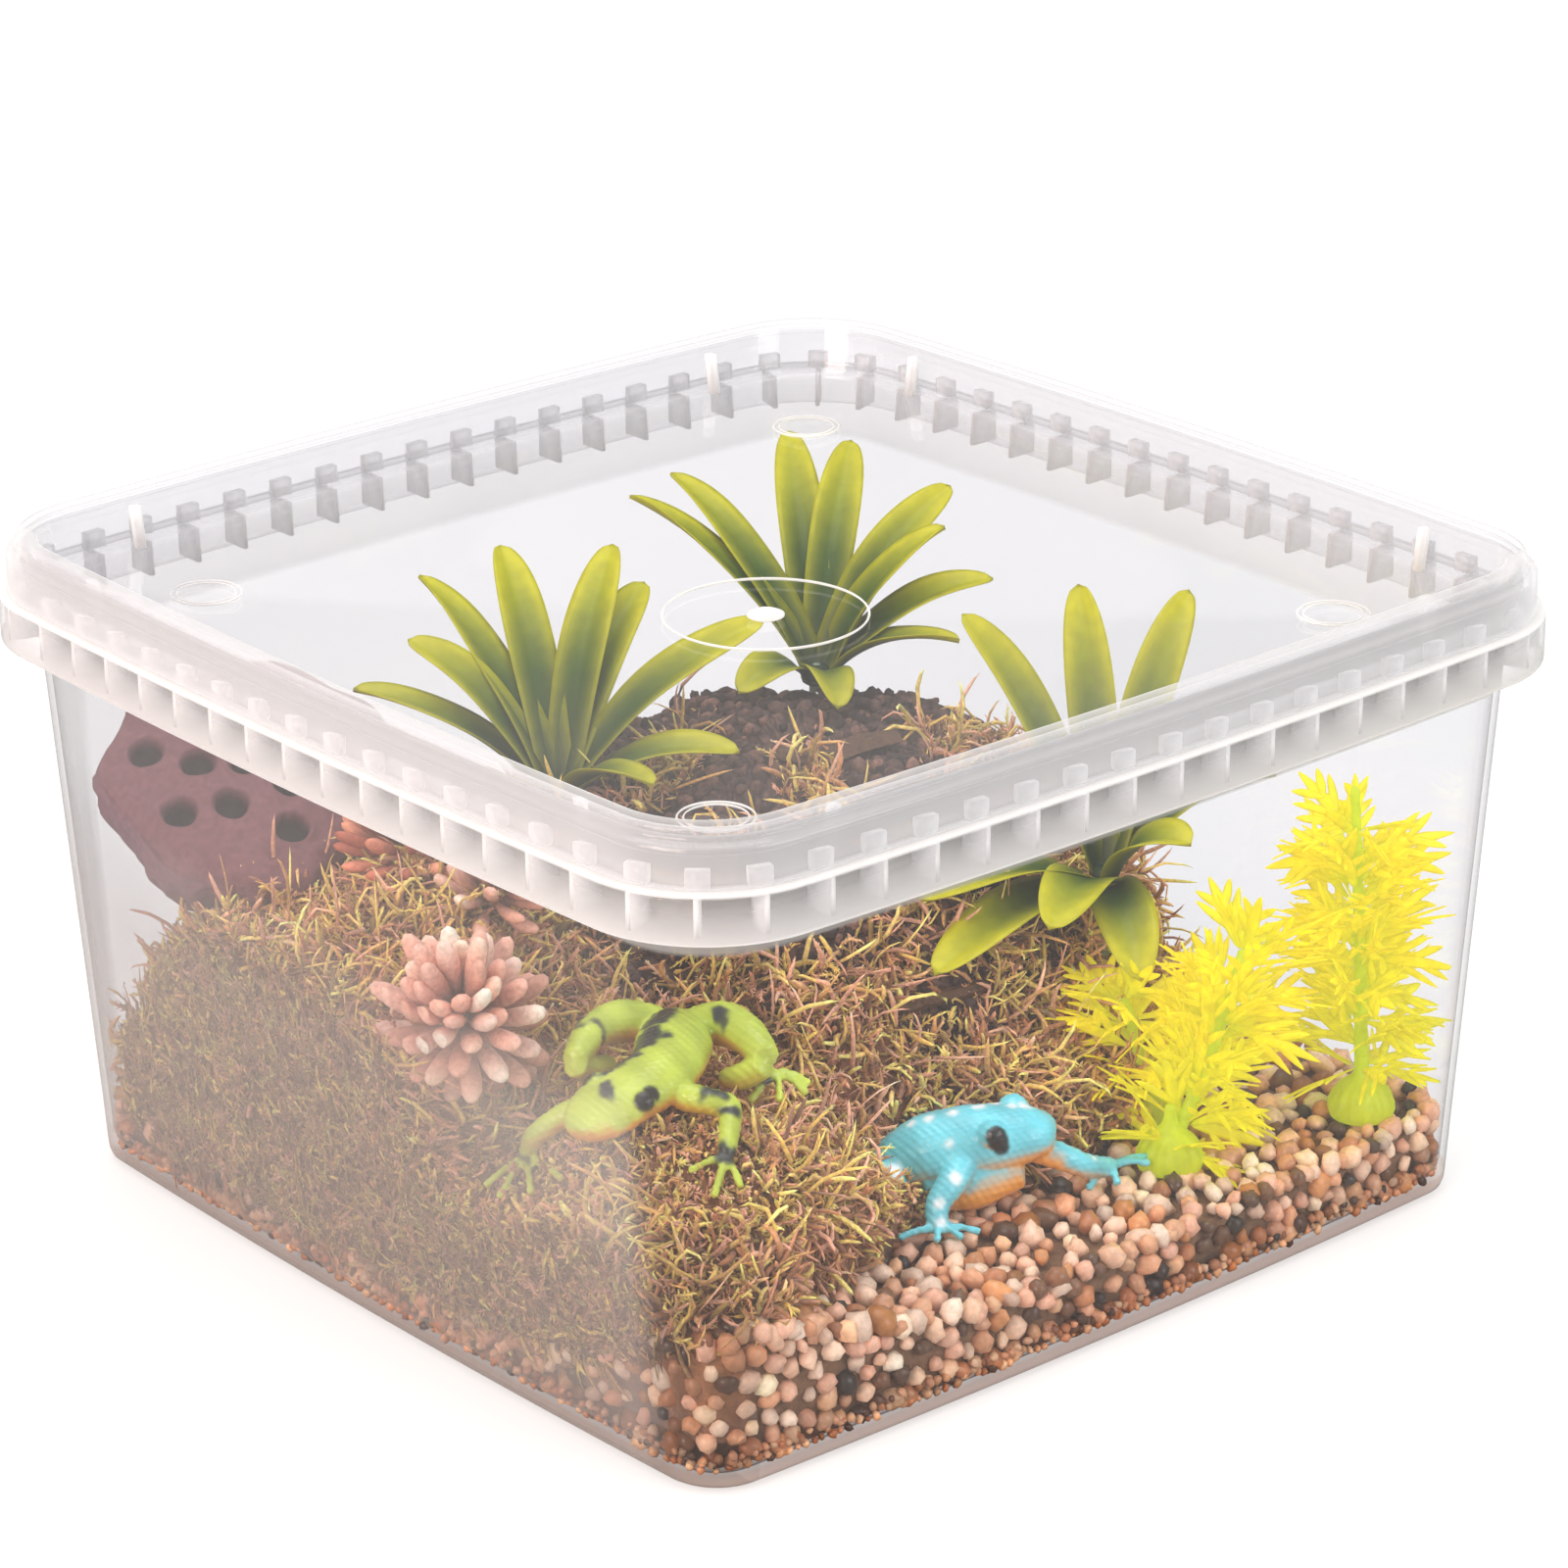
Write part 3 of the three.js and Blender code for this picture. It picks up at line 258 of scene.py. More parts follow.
def tubes(paths, widths, depths, face, sides):
    """Many bars at once: at each path point an ellipse of that width across and depth along the
    face direction, square to the path; the first and last path points close the ends. The face is one
    direction for all, or one for each bar."""
    paths = np.asarray(paths, float)
    n, k, _ = paths.shape
    along = unit(np.gradient(paths, axis=1), 1e-12)
    face = np.asarray(face, float)
    face = np.broadcast_to(face[:, None, :] if face.ndim == 2 else face, paths.shape)
    across = unit(np.cross(along, face), 1e-12)
    out = np.cross(across, along)
    turn = round_turn(sides)[None, None, :, None]
    widths = np.broadcast_to(widths, (n, k))[:, 1:-1, None, None]
    depths = np.broadcast_to(depths, (n, k))[:, 1:-1, None, None]
    rings = paths[:, 1:-1, None, :] \
        + across[:, 1:-1, None, :] * np.cos(turn) * widths / 2 \
        + out[:, 1:-1, None, :] * np.sin(turn) * depths / 2
    verts = np.concatenate([paths[:, :1], rings.reshape(n, -1, 3), paths[:, -1:]], 1)
    each = capped(k - 2, sides)
    faces = each[None] + (np.arange(n) * verts.shape[1])[:, None, None]
    return verts.reshape(-1, 3), faces.reshape(-1, 3), verts.shape[1]


def joined(parts):
    """Several (points, faces) sets as one."""
    verts = []
    faces = []
    start = 0
    for v, f in parts:
        verts.append(v)
        faces.append(np.asarray(f) + start)
        start += len(v)
    return np.concatenate(verts), np.concatenate(faces)


# Outline of tub and lid, in mm from the middle; a half size is the distance from there to a side
CORNER = 73.5
BOW = 1.5
LEAST_FULL_HALF = 76.0
CORNER_STEPS = 20
SIDE_STEPS = 24


def spots(corner_shares, side_places):
    """Places round the rounded square: base point, outward direction and bow loss. A corner point is
    its corner's centre plus the outward direction times the radius; a side point is bowed by
    a parabola. The shares run round each corner, the places along each side from its middle."""
    shares = np.asarray(corner_shares, float)
    places = np.asarray(side_places, float)
    base = []
    out = []
    loss = []
    for k in range(4):
        turn = (k - 1 + shares) * np.pi / 2
        middle = [CORNER if k in (0, 1) else -CORNER, CORNER if k in (1, 2) else -CORNER]
        base.append(np.tile(middle, (len(turn), 1)))
        out.append(np.stack([np.cos(turn), np.sin(turn)], -1))
        loss.append(np.full(len(turn), BOW + CORNER))
        ahead = np.array([np.cos(k * np.pi / 2), np.sin(k * np.pi / 2)])
        base.append(places[:, None] * np.array([-ahead[1], ahead[0]]))
        out.append(np.tile(ahead, (len(places), 1)))
        loss.append(BOW * (places / CORNER) ** 2)
    return np.concatenate(base), np.concatenate(out), np.concatenate(loss)


OUTLINE = spots(np.linspace(0, 1, CORNER_STEPS + 1), CORNER * np.linspace(-1, 1, SIDE_STEPS + 2)[1:-1])


def ring_at(half, z):
    """The outline at a half size and height; under the least full half size it shrinks evenly."""
    base, out, loss = OUTLINE
    p = (base + out * (max(half, LEAST_FULL_HALF) - loss)[:, None]) * min(half / LEAST_FULL_HALF, 1.0)
    return np.column_stack([p, np.full(len(p), z)])


def shell(profile):
    """A skin through outlines at (half size, height) pairs, closed by points on the axis."""
    rings = np.concatenate([ring_at(h, z) for h, z in profile[1:-1]])
    verts = np.concatenate([[[0, 0, profile[0][1]]], rings, [[0, 0, profile[-1][1]]]])
    return verts, capped(len(profile) - 2, len(OUTLINE[0]))


def rounded(profile, radius=0.2, steps=3):
    """A profile with each corner replaced by a small arc (quadratic curve), of its own size where it
    has a third number. The arc takes at most 0.45 of either side."""
    points = [profile[0][:2]]
    for before, here, after in zip(profile, profile[1:], profile[2:]):
        p = np.array(here[:2], float)
        size = here[2] if len(here) > 2 else radius
        a = np.array(before[:2], float) - p
        b = np.array(after[:2], float) - p
        la = np.linalg.norm(a)
        lb = np.linalg.norm(b)
        s = min(size, la * 0.45, lb * 0.45)
        if s <= 0:
            points.append(tuple(p))
            continue
        start = p + a / la * s
        end = p + b / lb * s
        for t in np.linspace(0, 1, steps):
            points.append(tuple((1 - t) ** 2 * start + 2 * t * (1 - t) * p + t * t * end))
    points.append(profile[-1][:2])
    return points


def fins(places, inner, outer, low, high, thick):
    """Upright plates across the outline: eight corners each, from the inner to the outer half size at
    the foot and at the top, and from low to high."""
    base, out, loss = places
    side = np.stack([-out[:, 1], out[:, 0]], -1)
    verts = []
    for z, halves in ((low, inner), (high, outer)):
        for h in halves:
            for s in (-0.5, 0.5):
                p = base + out * (h - loss)[:, None] + side * s * thick
                verts.append(np.column_stack([p, np.full(len(p), z)]))
    verts = np.stack(verts, 1).reshape(-1, 3)
    quad = np.array([[0, 2, 3, 1], [4, 5, 7, 6], [0, 1, 5, 4], [2, 6, 7, 3], [0, 4, 6, 2], [1, 3, 7, 5]])
    tri = np.concatenate([quad[:, [0, 1, 2]], quad[:, [0, 2, 3]]])
    faces = tri[None] + (np.arange(len(base)) * 8)[:, None, None]
    return verts, faces.reshape(-1, 3)


# Tub, in mm
TUB_WALL = 1.1
FLOOR_TOP = 1.9
FOOT_HALF, FOOT_HEIGHT = 85.2, 2.6
TOP_HALF, LEDGE = 92.1, 103.8
LEDGE_UNDER = 102.9
COLLAR_INNER, COLLAR_HALF, COLLAR_FOOT = 97.1, 97.93, 95.9
RIM_INNER, RIM_HALF, BEAD_HALF, RIM_TOP = 92.8, 93.7, 94.2, 111.3
WALL_STOPS = (12, 30, 50, 70, 88, 91.4, 92.2, 96.4)
RIB_PITCH = 9.85
WEB_FOOT, WEB_THICK = 97.0, 0.8
WINDOW_HALF, WINDOW_TOP, WINDOW_RIB_THICK = 95.3, 106.6, 3.6
# How far webs and ribs run into what they stand on
SINK, SINK_WALL = 0.05, 0.1
# The wall behind the collar's cells, in height
CELLS_FROM, CELLS_TO = 92, 103.2


def wall_half(z):
    """Half size of the tub's outer wall at a height."""
    return FOOT_HALF + (TOP_HALF - FOOT_HALF) / (LEDGE - FOOT_HEIGHT) * (z - FOOT_HEIGHT)


def half_size(verts):
    """The outline half size that each point lies on: along a side its larger coordinate and the bow,
    in a corner the corner's place and its distance from there."""
    flat = np.abs(verts[:, :2])
    over = np.clip(flat - CORNER, 0, None)
    side = flat.max(1) + BOW * (flat.min(1) / CORNER).clip(0, 1) ** 2
    return np.where((over > 0).all(1), CORNER + BOW + np.hypot(over[:, 0], over[:, 1]), side)


def milkiness(verts, levels):
    """Tone with how milky each point is: the last level whose half size and height it passes."""
    reach = half_size(verts)
    tone = np.zeros((len(verts), 3))
    for half, height, value in levels:
        tone[(reach > half) & (verts[:, 2] > height), 0] = value
    return tone


def on_far_side(verts):
    """True for the two sides at the back, whose plastic is seen against the room."""
    return (verts[:, :2].max(1) > 80) & (verts[:, :2].min(1) > -86)


tub_profile = [
    (0, 0.8), (75.2, 0.8, 0.3), (76, 0, 0.2), (82.6, 0, 0.4), (85.05, 0.9, 1.6), (85.3, 3.2, 0.8),
] + [(wall_half(z), z, 0) for z in WALL_STOPS] + [
    (wall_half(LEDGE_UNDER), LEDGE_UNDER, 0.3), (COLLAR_INNER, LEDGE_UNDER, 0.2),
    (COLLAR_INNER, COLLAR_FOOT, 0.2), (COLLAR_HALF, COLLAR_FOOT, 0.3), (COLLAR_HALF, LEDGE, 0.5),
    (RIM_HALF, LEDGE, 0.3), (RIM_HALF, 108.2, 0.2), (BEAD_HALF, 108.8, 0.4), (RIM_HALF, 109.4, 0.2),
    (RIM_HALF, RIM_TOP, 0.35), (RIM_INNER, RIM_TOP, 0.35), (RIM_INNER, 104.9, 0.4),
    (wall_half(LEDGE_UNDER) - TUB_WALL, LEDGE_UNDER, 0.4),
] + [(wall_half(z) - TUB_WALL, z, 0) for z in reversed(WALL_STOPS)] + [
    (wall_half(4.5) - TUB_WALL, 4.5, 0.9), (82.6, FLOOR_TOP, 1.4), (0, FLOOR_TOP),
]
RIBS = spots((0.2, 0.5, 0.8), (np.arange(15) - 7) * RIB_PITCH)
webs = fins(RIBS, (wall_half(WEB_FOOT) - SINK_WALL, COLLAR_INNER + SINK),
            (wall_half(LEDGE_UNDER) - SINK_WALL, COLLAR_INNER + SINK),
            WEB_FOOT, LEDGE_UNDER + SINK, WEB_THICK)
windows = fins(RIBS, (RIM_HALF - SINK, WINDOW_HALF), (RIM_HALF - SINK, WINDOW_HALF), LEDGE - SINK, WINDOW_TOP,
               WINDOW_RIB_THICK)
verts, faces = joined([shell(rounded(tub_profile)), webs, windows])
reach = half_size(verts)
height = verts[:, 2]
left = verts[:, 0]
in_wall = height < CELLS_FROM

# Milk of the walls, the wall behind the collar, the ledge, the collar's outside and the rim. Behind the
# collar, milk and smoke paint the grey shade of the cells
tone = milkiness(verts, [(-1, -1, 0.004), (0, CELLS_FROM, 0.6), (0, CELLS_TO, 0.16), (96, -1, 0.045),
                         (93, 103.5, 0.3)])
# Painted shade: grey smoke where light crosses the plastic lengthwise; and painted highlights: white milk
# along the collar's two edges, where they gleam
tone[(reach < 96) & (height > CELLS_FROM) & (height < CELLS_TO), 1] = 0.95
tone[(reach < 95) & (height > 104.2), 1] = 0.7
tone[(reach > 96.8) & ((height < 96.15) & (height > 95) | (np.abs(height - LEDGE) < 0.25)), 0] = 0.75
# Painted reflection and shade: milk and smoke on the left wall stand in for the room it mirrors and dim
# its lower half; the near upright edge is painted smoky grey, a shade where it bends the light
left_wall = (left < -76) & (verts[:, 1] > -72) & in_wall
tone[left_wall, 0] = np.interp(height[left_wall], (50, 70), (0.125, 0.025))
tone[left_wall, 1] = np.interp(height[left_wall], (50, 70), (0.45, 0.38))
tone[(left < -73.5) & (verts[:, 1] <= -72) & in_wall] = (0.02, 0.65, 0)
# Painted reflection: the thick foot ring carries the gravel's colour, which its curve bends into view
tone[(reach > 80) & (height < 3.4) & (height != FLOOR_TOP), 2] = 0.3
rib_start = len(verts) - len(webs[0]) - len(windows[0])
tone[rib_start:] = 0
tone[rib_start:rib_start + len(webs[0]), 0] = np.where(half_size(webs[0]) > 95, 0.95, 0.3)
tone[-len(windows[0]):, 0] = 0.4
# Painted light: the back sides get less milk and smoke, so that they look lighter against the white room
far_side = on_far_side(verts)
tone[far_side & (height > CELLS_FROM)] *= (0.3, 0.12, 0)
tone[rib_start:, 0] = np.where(far_side[rib_start:], 0.42, tone[rib_start:, 0])
make("tub_shell", verts, faces, tub_plastic, "tub", tone, "clear", 0)

# Lid, in mm
PANEL_HALF, PANEL_SAG = 90.1, 3.6
LID_HALF, LID_TOP, LID_WALL = 96.4, 113.25, 0.9
SKIRT_INNER, SKIRT_FOOT = 95.5, 104.1
CORNER_RINGS_AT = 65.5
LUGS_AT = 63.0


def sag(share):
    """Height of the lid's panel: lower in the middle by a parabola."""
    return LEDGE - PANEL_SAG * (1 - share * share)


panel = [(PANEL_HALF * share, sag(share), 0) for share in (0.15, 0.3, 0.45, 0.6, 0.75, 0.88)]
lid_profile = [(0, sag(0))] + panel + [
    (89.8, LEDGE, 0.5), (91.2, LID_TOP, 0.8), (94.8, LID_TOP, 0.8), (94.8, 111.2, 0.5),
    (LID_HALF, 110.5, 0.5), (LID_HALF, SKIRT_FOOT, 0.2), (SKIRT_INNER, SKIRT_FOOT, 0.2),
    (SKIRT_INNER, 109.9, 0.4), (94.0, 110.4, 0.3), (94.0, 112.4, 0.4), (92.1, 112.4, 0.4), (91.0, 103.3, 0.3),
    (PANEL_HALF, LEDGE - LID_WALL, 0.3),
] + [(half, z - LID_WALL, 0) for half, z, _ in reversed(panel)] + [(0, sag(0) - LID_WALL)]


def line_rings(places, radius, width, steps):
    """Raised circular lines: a small diamond section turned about each upright axis."""
    turn = round_turn(steps)[:, None]
    section = np.array([(-0.5, 0), (0, -0.6), (0.5, 0), (0, 0.6)]) * width
    i, j = np.meshgrid(np.arange(steps), np.arange(4), indexing="ij")
    a = i * 4 + j
    b = (i + 1) % steps * 4 + j
    c = i * 4 + (j + 1) % 4
    d = (i + 1) % steps * 4 + (j + 1) % 4
    faces = np.concatenate([np.stack([a, b, d], -1).reshape(-1, 3), np.stack([a, d, c], -1).reshape(-1, 3)])
    r = radius + section[:, 0]
    return joined([(np.stack([x + r * np.cos(turn), y + r * np.sin(turn),
                              np.broadcast_to(z + section[:, 1], (steps, 4))], -1).reshape(-1, 3), faces)
                   for x, y, z in places])


def dome(x, y, z, radius, height, rings=6, sides=32):
    """A low closed lens: radius times the cosine, height times the sine of the way up."""
    lat = np.linspace(-np.pi / 2, np.pi / 2, rings + 2)[1:-1, None]
    turn = round_turn(sides)
    ring = np.stack([x + radius * np.cos(lat) * np.cos(turn), y + radius * np.cos(lat) * np.sin(turn),
                     np.broadcast_to(z + height * np.sin(lat), (rings, sides))], -1).reshape(-1, 3)
    return np.concatenate([[[x, y, z - height]], ring, [[x, y, z + height]]]), capped(rings, sides)


corner_rings = [(sx * CORNER_RINGS_AT, sy * CORNER_RINGS_AT, sag(CORNER_RINGS_AT / PANEL_HALF) + 0.1)
                for sx in (-1, 1) for sy in (-1, 1)]
lid_marks = joined([
    fins(spots((), (LUGS_AT, -LUGS_AT)), (88.4, 89.9), (89.6, 91.0), 103.6, 110.8, 1.6),
    line_rings(corner_rings, 5.9, 0.34, 48), line_rings(corner_rings, 4.9, 0.28, 44),
    line_rings([(0, 0, sag(0) + 0.15)], 17, 0.4, 96), dome(0, 0, sag(0), 3.2, 0.7),
    dome(0, 0, sag(0) + 0.5, 1.7, 0.6),
])
verts, faces = joined([shell(rounded(lid_profile)), lid_marks])
tone = milkiness(verts, [(-1, -1, 0.006), (90.6, 95, 0.14), (95.4, 95, 0.15)])
# A thin haze on the panel, which grows towards the front corner: partly the plastic's own milk, partly a
# painted reflection of the room on the side that faces the camera
on_panel = half_size(verts) < 89.9
nearness = np.clip((20 - verts[:, :2] @ np.array([0.649, 0.761])) / 80, 0, 1)
tone[on_panel, 0] = (0.002 + 0.013 * nearness ** 1.3)[on_panel]
# Painted light: the back sides of the lid's rim get less milk, so that they look lighter against the room
tone[on_far_side(verts) & ~on_panel, 0] *= 0.45
tone[-len(lid_marks[0]):, 0] = 0.6
make("lid_shell", verts, faces, lid_plastic, "lid", tone, "clearLid", 0, "lid_body")


# Ground heights, in mm
FLOOR = wall_half(FLOOR_TOP) - TUB_WALL
GRAVEL_DEPTH, MOSS_DEPTH, SOIL_DEPTH = 15, 16.5, 13.5
SOIL_MOUND_SHARE, SOIL_BANK_SHARE = 1.104, 0.55
# Hills: height, middle in x and y, reach in x and y, and a power that makes the top flatter
HILLS = {
    "gravel_heap": (13, -FLOOR, -FLOOR, 35, 23.1, 1),
    "left_dip": (-5.5, -FLOOR, 0.3 * FLOOR, 30, 78, 2),
    "mound": (50, 0.21 * FLOOR, 0.21 * FLOOR, 68, 57.8, 2),
    "left_bank": (40, -0.93 * FLOOR, 0.28 * FLOOR, 34.02, 42, 2),
    "near_bank": (28, -0.74 * FLOOR, -0.6 * FLOOR, 32, 32, 1),
    "frog_tuft": (5.5, -50, -36, 15, 13, 1),
}
# Low waves over moss and soil: direction, share of the wave length, phase
LUMPS = ((0.3, 1, 0.4), (1.7, 0.95, 2.1), (2.6, 0.85, 4), (0.9, 0.8, 5.2), (2.1, 0.9, 1.3))
LUMP_LENGTH, LUMP_HEIGHT = 27, 1.4
# Plans from above: corners as shares of a half size
PLAN_HALF = 91.0
MOSS_PLAN = PLAN_HALF * np.array([
    [-1.1, -1.1], [-0.66, -0.8], [-0.3, -0.64], [0.1, -0.57], [0.42, -0.56], [0.66, -0.44],
    [0.78, -0.1], [0.6, 0.2], [0.3, 0.4], [-0.1, 0.6], [-0.6, 0.78], [-1.1, 0.8]])
SOIL_PLAN = PLAN_HALF * np.array([
    [-0.55, -0.3], [-0.25, -0.5], [0.1, -0.5], [0.45, -0.42], [0.72, -0.2],
    [0.84, 0.15], [0.8, 0.55], [0.5, 0.84], [0.05, 0.86], [-0.4, 0.7]])


def hill(x, y, name):
    """A smooth hill: its height times e to minus (squared scaled distance) to a power."""
    height, cx, cy, rx, ry, power = HILLS[name]
    return height * np.exp(-((((x - cx) / rx) ** 2 + ((y - cy) / ry) ** 2) ** power))


def lumps(x, y):
    """Low waves in five directions: a sine along each turn, with its length share and phase."""
    total = 0
    for turn, share, phase in LUMPS:
        along = x * np.cos(turn) + y * np.sin(turn)
        total = total + share * np.sin(2 * np.pi * along / (LUMP_LENGTH * share) + phase)
    return total * LUMP_HEIGHT / len(LUMPS) ** 0.5


def gravel_top(x, y):
    """Level bed with a heap in the near corner and a dip along the left wall."""
    return GRAVEL_DEPTH + hill(x, y, "gravel_heap") + hill(x, y, "left_dip")


def banks(x, y):
    """The bank along the left wall and the lower one in the near corner."""
    return hill(x, y, "left_bank") + hill(x, y, "near_bank")


def moss_top(x, y):
    """The moss surface, with a soft tuft where the green frog rests."""
    return MOSS_DEPTH + hill(x, y, "mound") + banks(x, y) + lumps(x, y) + hill(x, y, "frog_tuft")


def soil_top(x, y):
    """The mould's surface: a little steeper than the moss on the mound, and lower on the banks."""
    return SOIL_DEPTH + SOIL_MOUND_SHARE * hill(x, y, "mound") + SOIL_BANK_SHARE * banks(x, y) + lumps(y, x)


def waves(x, y, seed, lengths, heights):
    """Sum of sines in five random directions for each of the given lengths and heights in mm."""
    local = np.random.default_rng(seed)
    total = np.zeros_like(x)
    for length, height in zip(lengths, heights):
        for _ in range(5):
            turn, phase = local.uniform(0, 2 * np.pi, 2)
            along = x * np.cos(turn) + y * np.sin(turn)
            total = total + height / 5 ** 0.5 * np.sin(along * 2 * np.pi / length + phase)
    return total


def inside_half(z, gap):
    """Half size of the tub's inside at a height, less a gap."""
    return wall_half(z) - TUB_WALL - gap


def in_walls(x, y, z, gap):
    """True where a point is inside the tub's inner outline at its height, less a gap."""
    h = inside_half(z, gap)
    ok = (np.abs(x) < h - BOW * (y / CORNER) ** 2) & (np.abs(y) < h - BOW * (x / CORNER) ** 2)
    dx = np.abs(x) - CORNER
    dy = np.abs(y) - CORNER
    return ok & ~((dx > 0) & (dy > 0) & (dx ** 2 + dy ** 2 > (h - BOW - CORNER) ** 2))


def in_plan(x, y, plan):
    """True inside a polygon, by counting the edges crossed to the right."""
    inside = np.zeros(x.shape, bool)
    for (x1, y1), (x2, y2) in zip(plan, np.roll(plan, -1, 0)):
        cross = (y1 > y) != (y2 > y)
        with np.errstate(divide="ignore", invalid="ignore"):
            edge = (x2 - x1) * (y - y1) / (y2 - y1) + x1
        inside ^= cross & (x < edge)
    return inside


def plan_reach(plan, centre, turn):
    """Distance from a centre to a polygon's edge in each direction: the nearest crossing of a ray and
    an edge."""
    d = np.stack([np.cos(turn), np.sin(turn)], -1)
    best = np.full(len(turn), np.inf)
    for p, q in zip(plan, np.roll(plan, -1, 0)):
        e = q - p
        w = p - centre
        cross = d[:, 0] * e[1] - d[:, 1] * e[0]
        with np.errstate(divide="ignore", invalid="ignore"):
            t = (w[0] * e[1] - w[1] * e[0]) / cross
            s = (w[0] * d[:, 1] - w[1] * d[:, 0]) / cross
        good = (t > 0) & (s >= 0) & (s <= 1)
        best = np.where(good & (t < best), t, best)
    return best


def wall_reach(centre, turn, z, gap):
    """Distance from a centre to the inner wall in each direction, by halving."""
    low = np.zeros(len(turn))
    high = np.full(len(turn), 220.0)
    for _ in range(30):
        mid = (low + high) / 2
        ok = in_walls(centre[0] + mid * np.cos(turn), centre[1] + mid * np.sin(turn), z, gap)
        low = np.where(ok, mid, low)
        high = np.where(ok, high, mid)
    return low


def heap_body(centre, plan, top, foot, gap, spokes, rings):
    """A closed heap: spokes from a centre out to the plan or the wall, rings at even shares; the top
    follows a height and the underside is level. The wall leans, so the reach is found again at the
    height that the last edge had."""
    turn = round_turn(spokes)
    share = np.linspace(0, 1, rings + 1)[1:, None]
    cx, cy = centre

    def reach_at(z):
        reach = wall_reach(centre, turn, z, gap)
        return reach if plan is None else np.minimum(reach, plan_reach(plan, np.array(centre), turn))

    foot_reach = reach_at(np.full(spokes, foot))
    reach = foot_reach
    for _ in range(4):
        x = cx + share * reach * np.cos(turn)
        y = cy + share * reach * np.sin(turn)
        z = np.maximum(top(x, y), foot + 0.3)
        reach = reach_at(z[-1])
    upper = np.stack([x, y, z], -1).reshape(-1, 3)
    lower = np.column_stack([cx + foot_reach * np.cos(turn), cy + foot_reach * np.sin(turn),
                             np.full(spokes, foot)])
    peak = top(np.array([float(cx)]), np.array([float(cy)]))[0]
    verts = np.concatenate([[[cx, cy, peak]], upper, lower, [[cx, cy, foot]]])
    return verts, capped(rings + 1, spokes)[:, ::-1]


def mixed(colours, count, seed, spread=0.12):
    """Random rows from a palette, each made a little lighter or darker."""
    local = np.random.default_rng(seed)
    picked = colours[local.integers(0, len(colours), count)]
    return picked * (1 + spread * local.standard_normal((count, 1)))


def held(verts, gap=0.35):
    """Points kept inside the tub: each is drawn back to the inner outline at its height."""
    h = inside_half(verts[:, 2], gap)
    side_x = h - BOW * np.clip(np.abs(verts[:, 1]) / CORNER, 0, 1) ** 2
    side_y = h - BOW * np.clip(np.abs(verts[:, 0]) / CORNER, 0, 1) ** 2
    x = np.clip(verts[:, 0], -side_x, side_x)
    y = np.clip(verts[:, 1], -side_y, side_y)
    x, y = round_corner(x, y, h, True)
    return np.stack([x, y, verts[:, 2]], -1)


def round_corner(x, y, half, only_past):
    """Points in a corner are set on its arc, all of them or only those that lie past it."""
    dx = np.abs(x) - CORNER
    dy = np.abs(y) - CORNER
    length = np.hypot(dx, dy) + 1e-9
    radius = half - BOW - CORNER
    moved = (dx > 0) & (dy > 0) & ((length > radius) | (not only_past))
    return (np.where(moved, np.sign(x) * (CORNER + dx / length * radius), x),
            np.where(moved, np.sign(y) * (CORNER + dy / length * radius), y))


def wall_places(count, low, high, gap, local, sides=(0, 1, 2, 3)):
    """Random places just inside the walls between two heights. Sides 0 to 3 are right, back, left and
    front."""
    t = local.uniform(-84, 84, count)
    side = local.choice(sides, count)
    z = low + (high - low) * local.uniform(0, 1, count)
    h = inside_half(z, gap) - BOW * (np.abs(t) / CORNER).clip(0, 1) ** 2
    x = np.where(side == 0, h, np.where(side == 1, t, np.where(side == 2, -h, t)))
    y = np.where(side == 0, t, np.where(side == 1, h, np.where(side == 2, t, -h)))
    x, y = round_corner(x, y, inside_half(z, gap), False)
    return np.stack([x, y, z], -1)


def thinned(points, least):
    """Points that have no earlier kept point nearer than a least distance."""
    tree = kdtree.KDTree(len(points))
    for i, p in enumerate(points):
        tree.insert(p, i)
    tree.balance()
    keep = np.ones(len(points), bool)
    for i, p in enumerate(points):
        if keep[i]:
            for _, j, _ in tree.find_range(p, least):
                if j > i:
                    keep[j] = False
    return points[keep]


# Gravel
GRAVEL = np.array([1.1, 0.93, 0.78]) * palette([
    "f4ece4", "e2d6cc", "2e2620", "d3c6bc", "e8c9b4", "d8b094", "f2dccb", "c99a78", "b98560", "e6c0ae",
    "f7eadc", "e6bfae", "d6a98a", "efd5bf", "cba184", "9a6c4a", "55402f", "d09a68", "ebc8b6", "dcba9a",
    "f0d9cb", "a8763f", "e2b8a4", "6f5138"])
# Painted shade: the core under the pebbles is dark brown, for the shadow and dust between them
GRAVEL_SHADE_AND_DUST = palette(["7a5a40"])
PEBBLE_GAP, LARGEST_BY_WALL = 2.0, 4.2
core = heap_body((0, 0), None, lambda x, y: gravel_top(x, y) - 2.9, 2.4, 2.4, 96, 24)
make("gravel_core", *core, pebble_shadow, "gravel_bed", np.repeat(GRAVEL_SHADE_AND_DUST, len(core[0]), 0),
     "gravel", 0)


def pebble_ball():
    """A cube's surface split in four a side and pushed to a ball: 26 points."""
    places = {}
    faces = []
    for axis in range(3):
        for sign in (-1, 1):
            for i in (-1, 0):
                for j in (-1, 0):
                    quad = []
                    for a, b in ((i, j), (i + 1, j), (i + 1, j + 1), (i, j + 1)):
                        p = [0.0, 0.0, 0.0]
                        p[axis], p[(axis + 1) % 3], p[(axis + 2) % 3] = sign, a, b
                        quad.append(places.setdefault(tuple(p), len(places)))
                    if sign < 0:
                        quad = quad[::-1]
                    faces += [quad[:3], [quad[0], quad[2], quad[3]]]
    return np.array([np.array(p) / np.linalg.norm(p) for p in places]), np.array(faces)


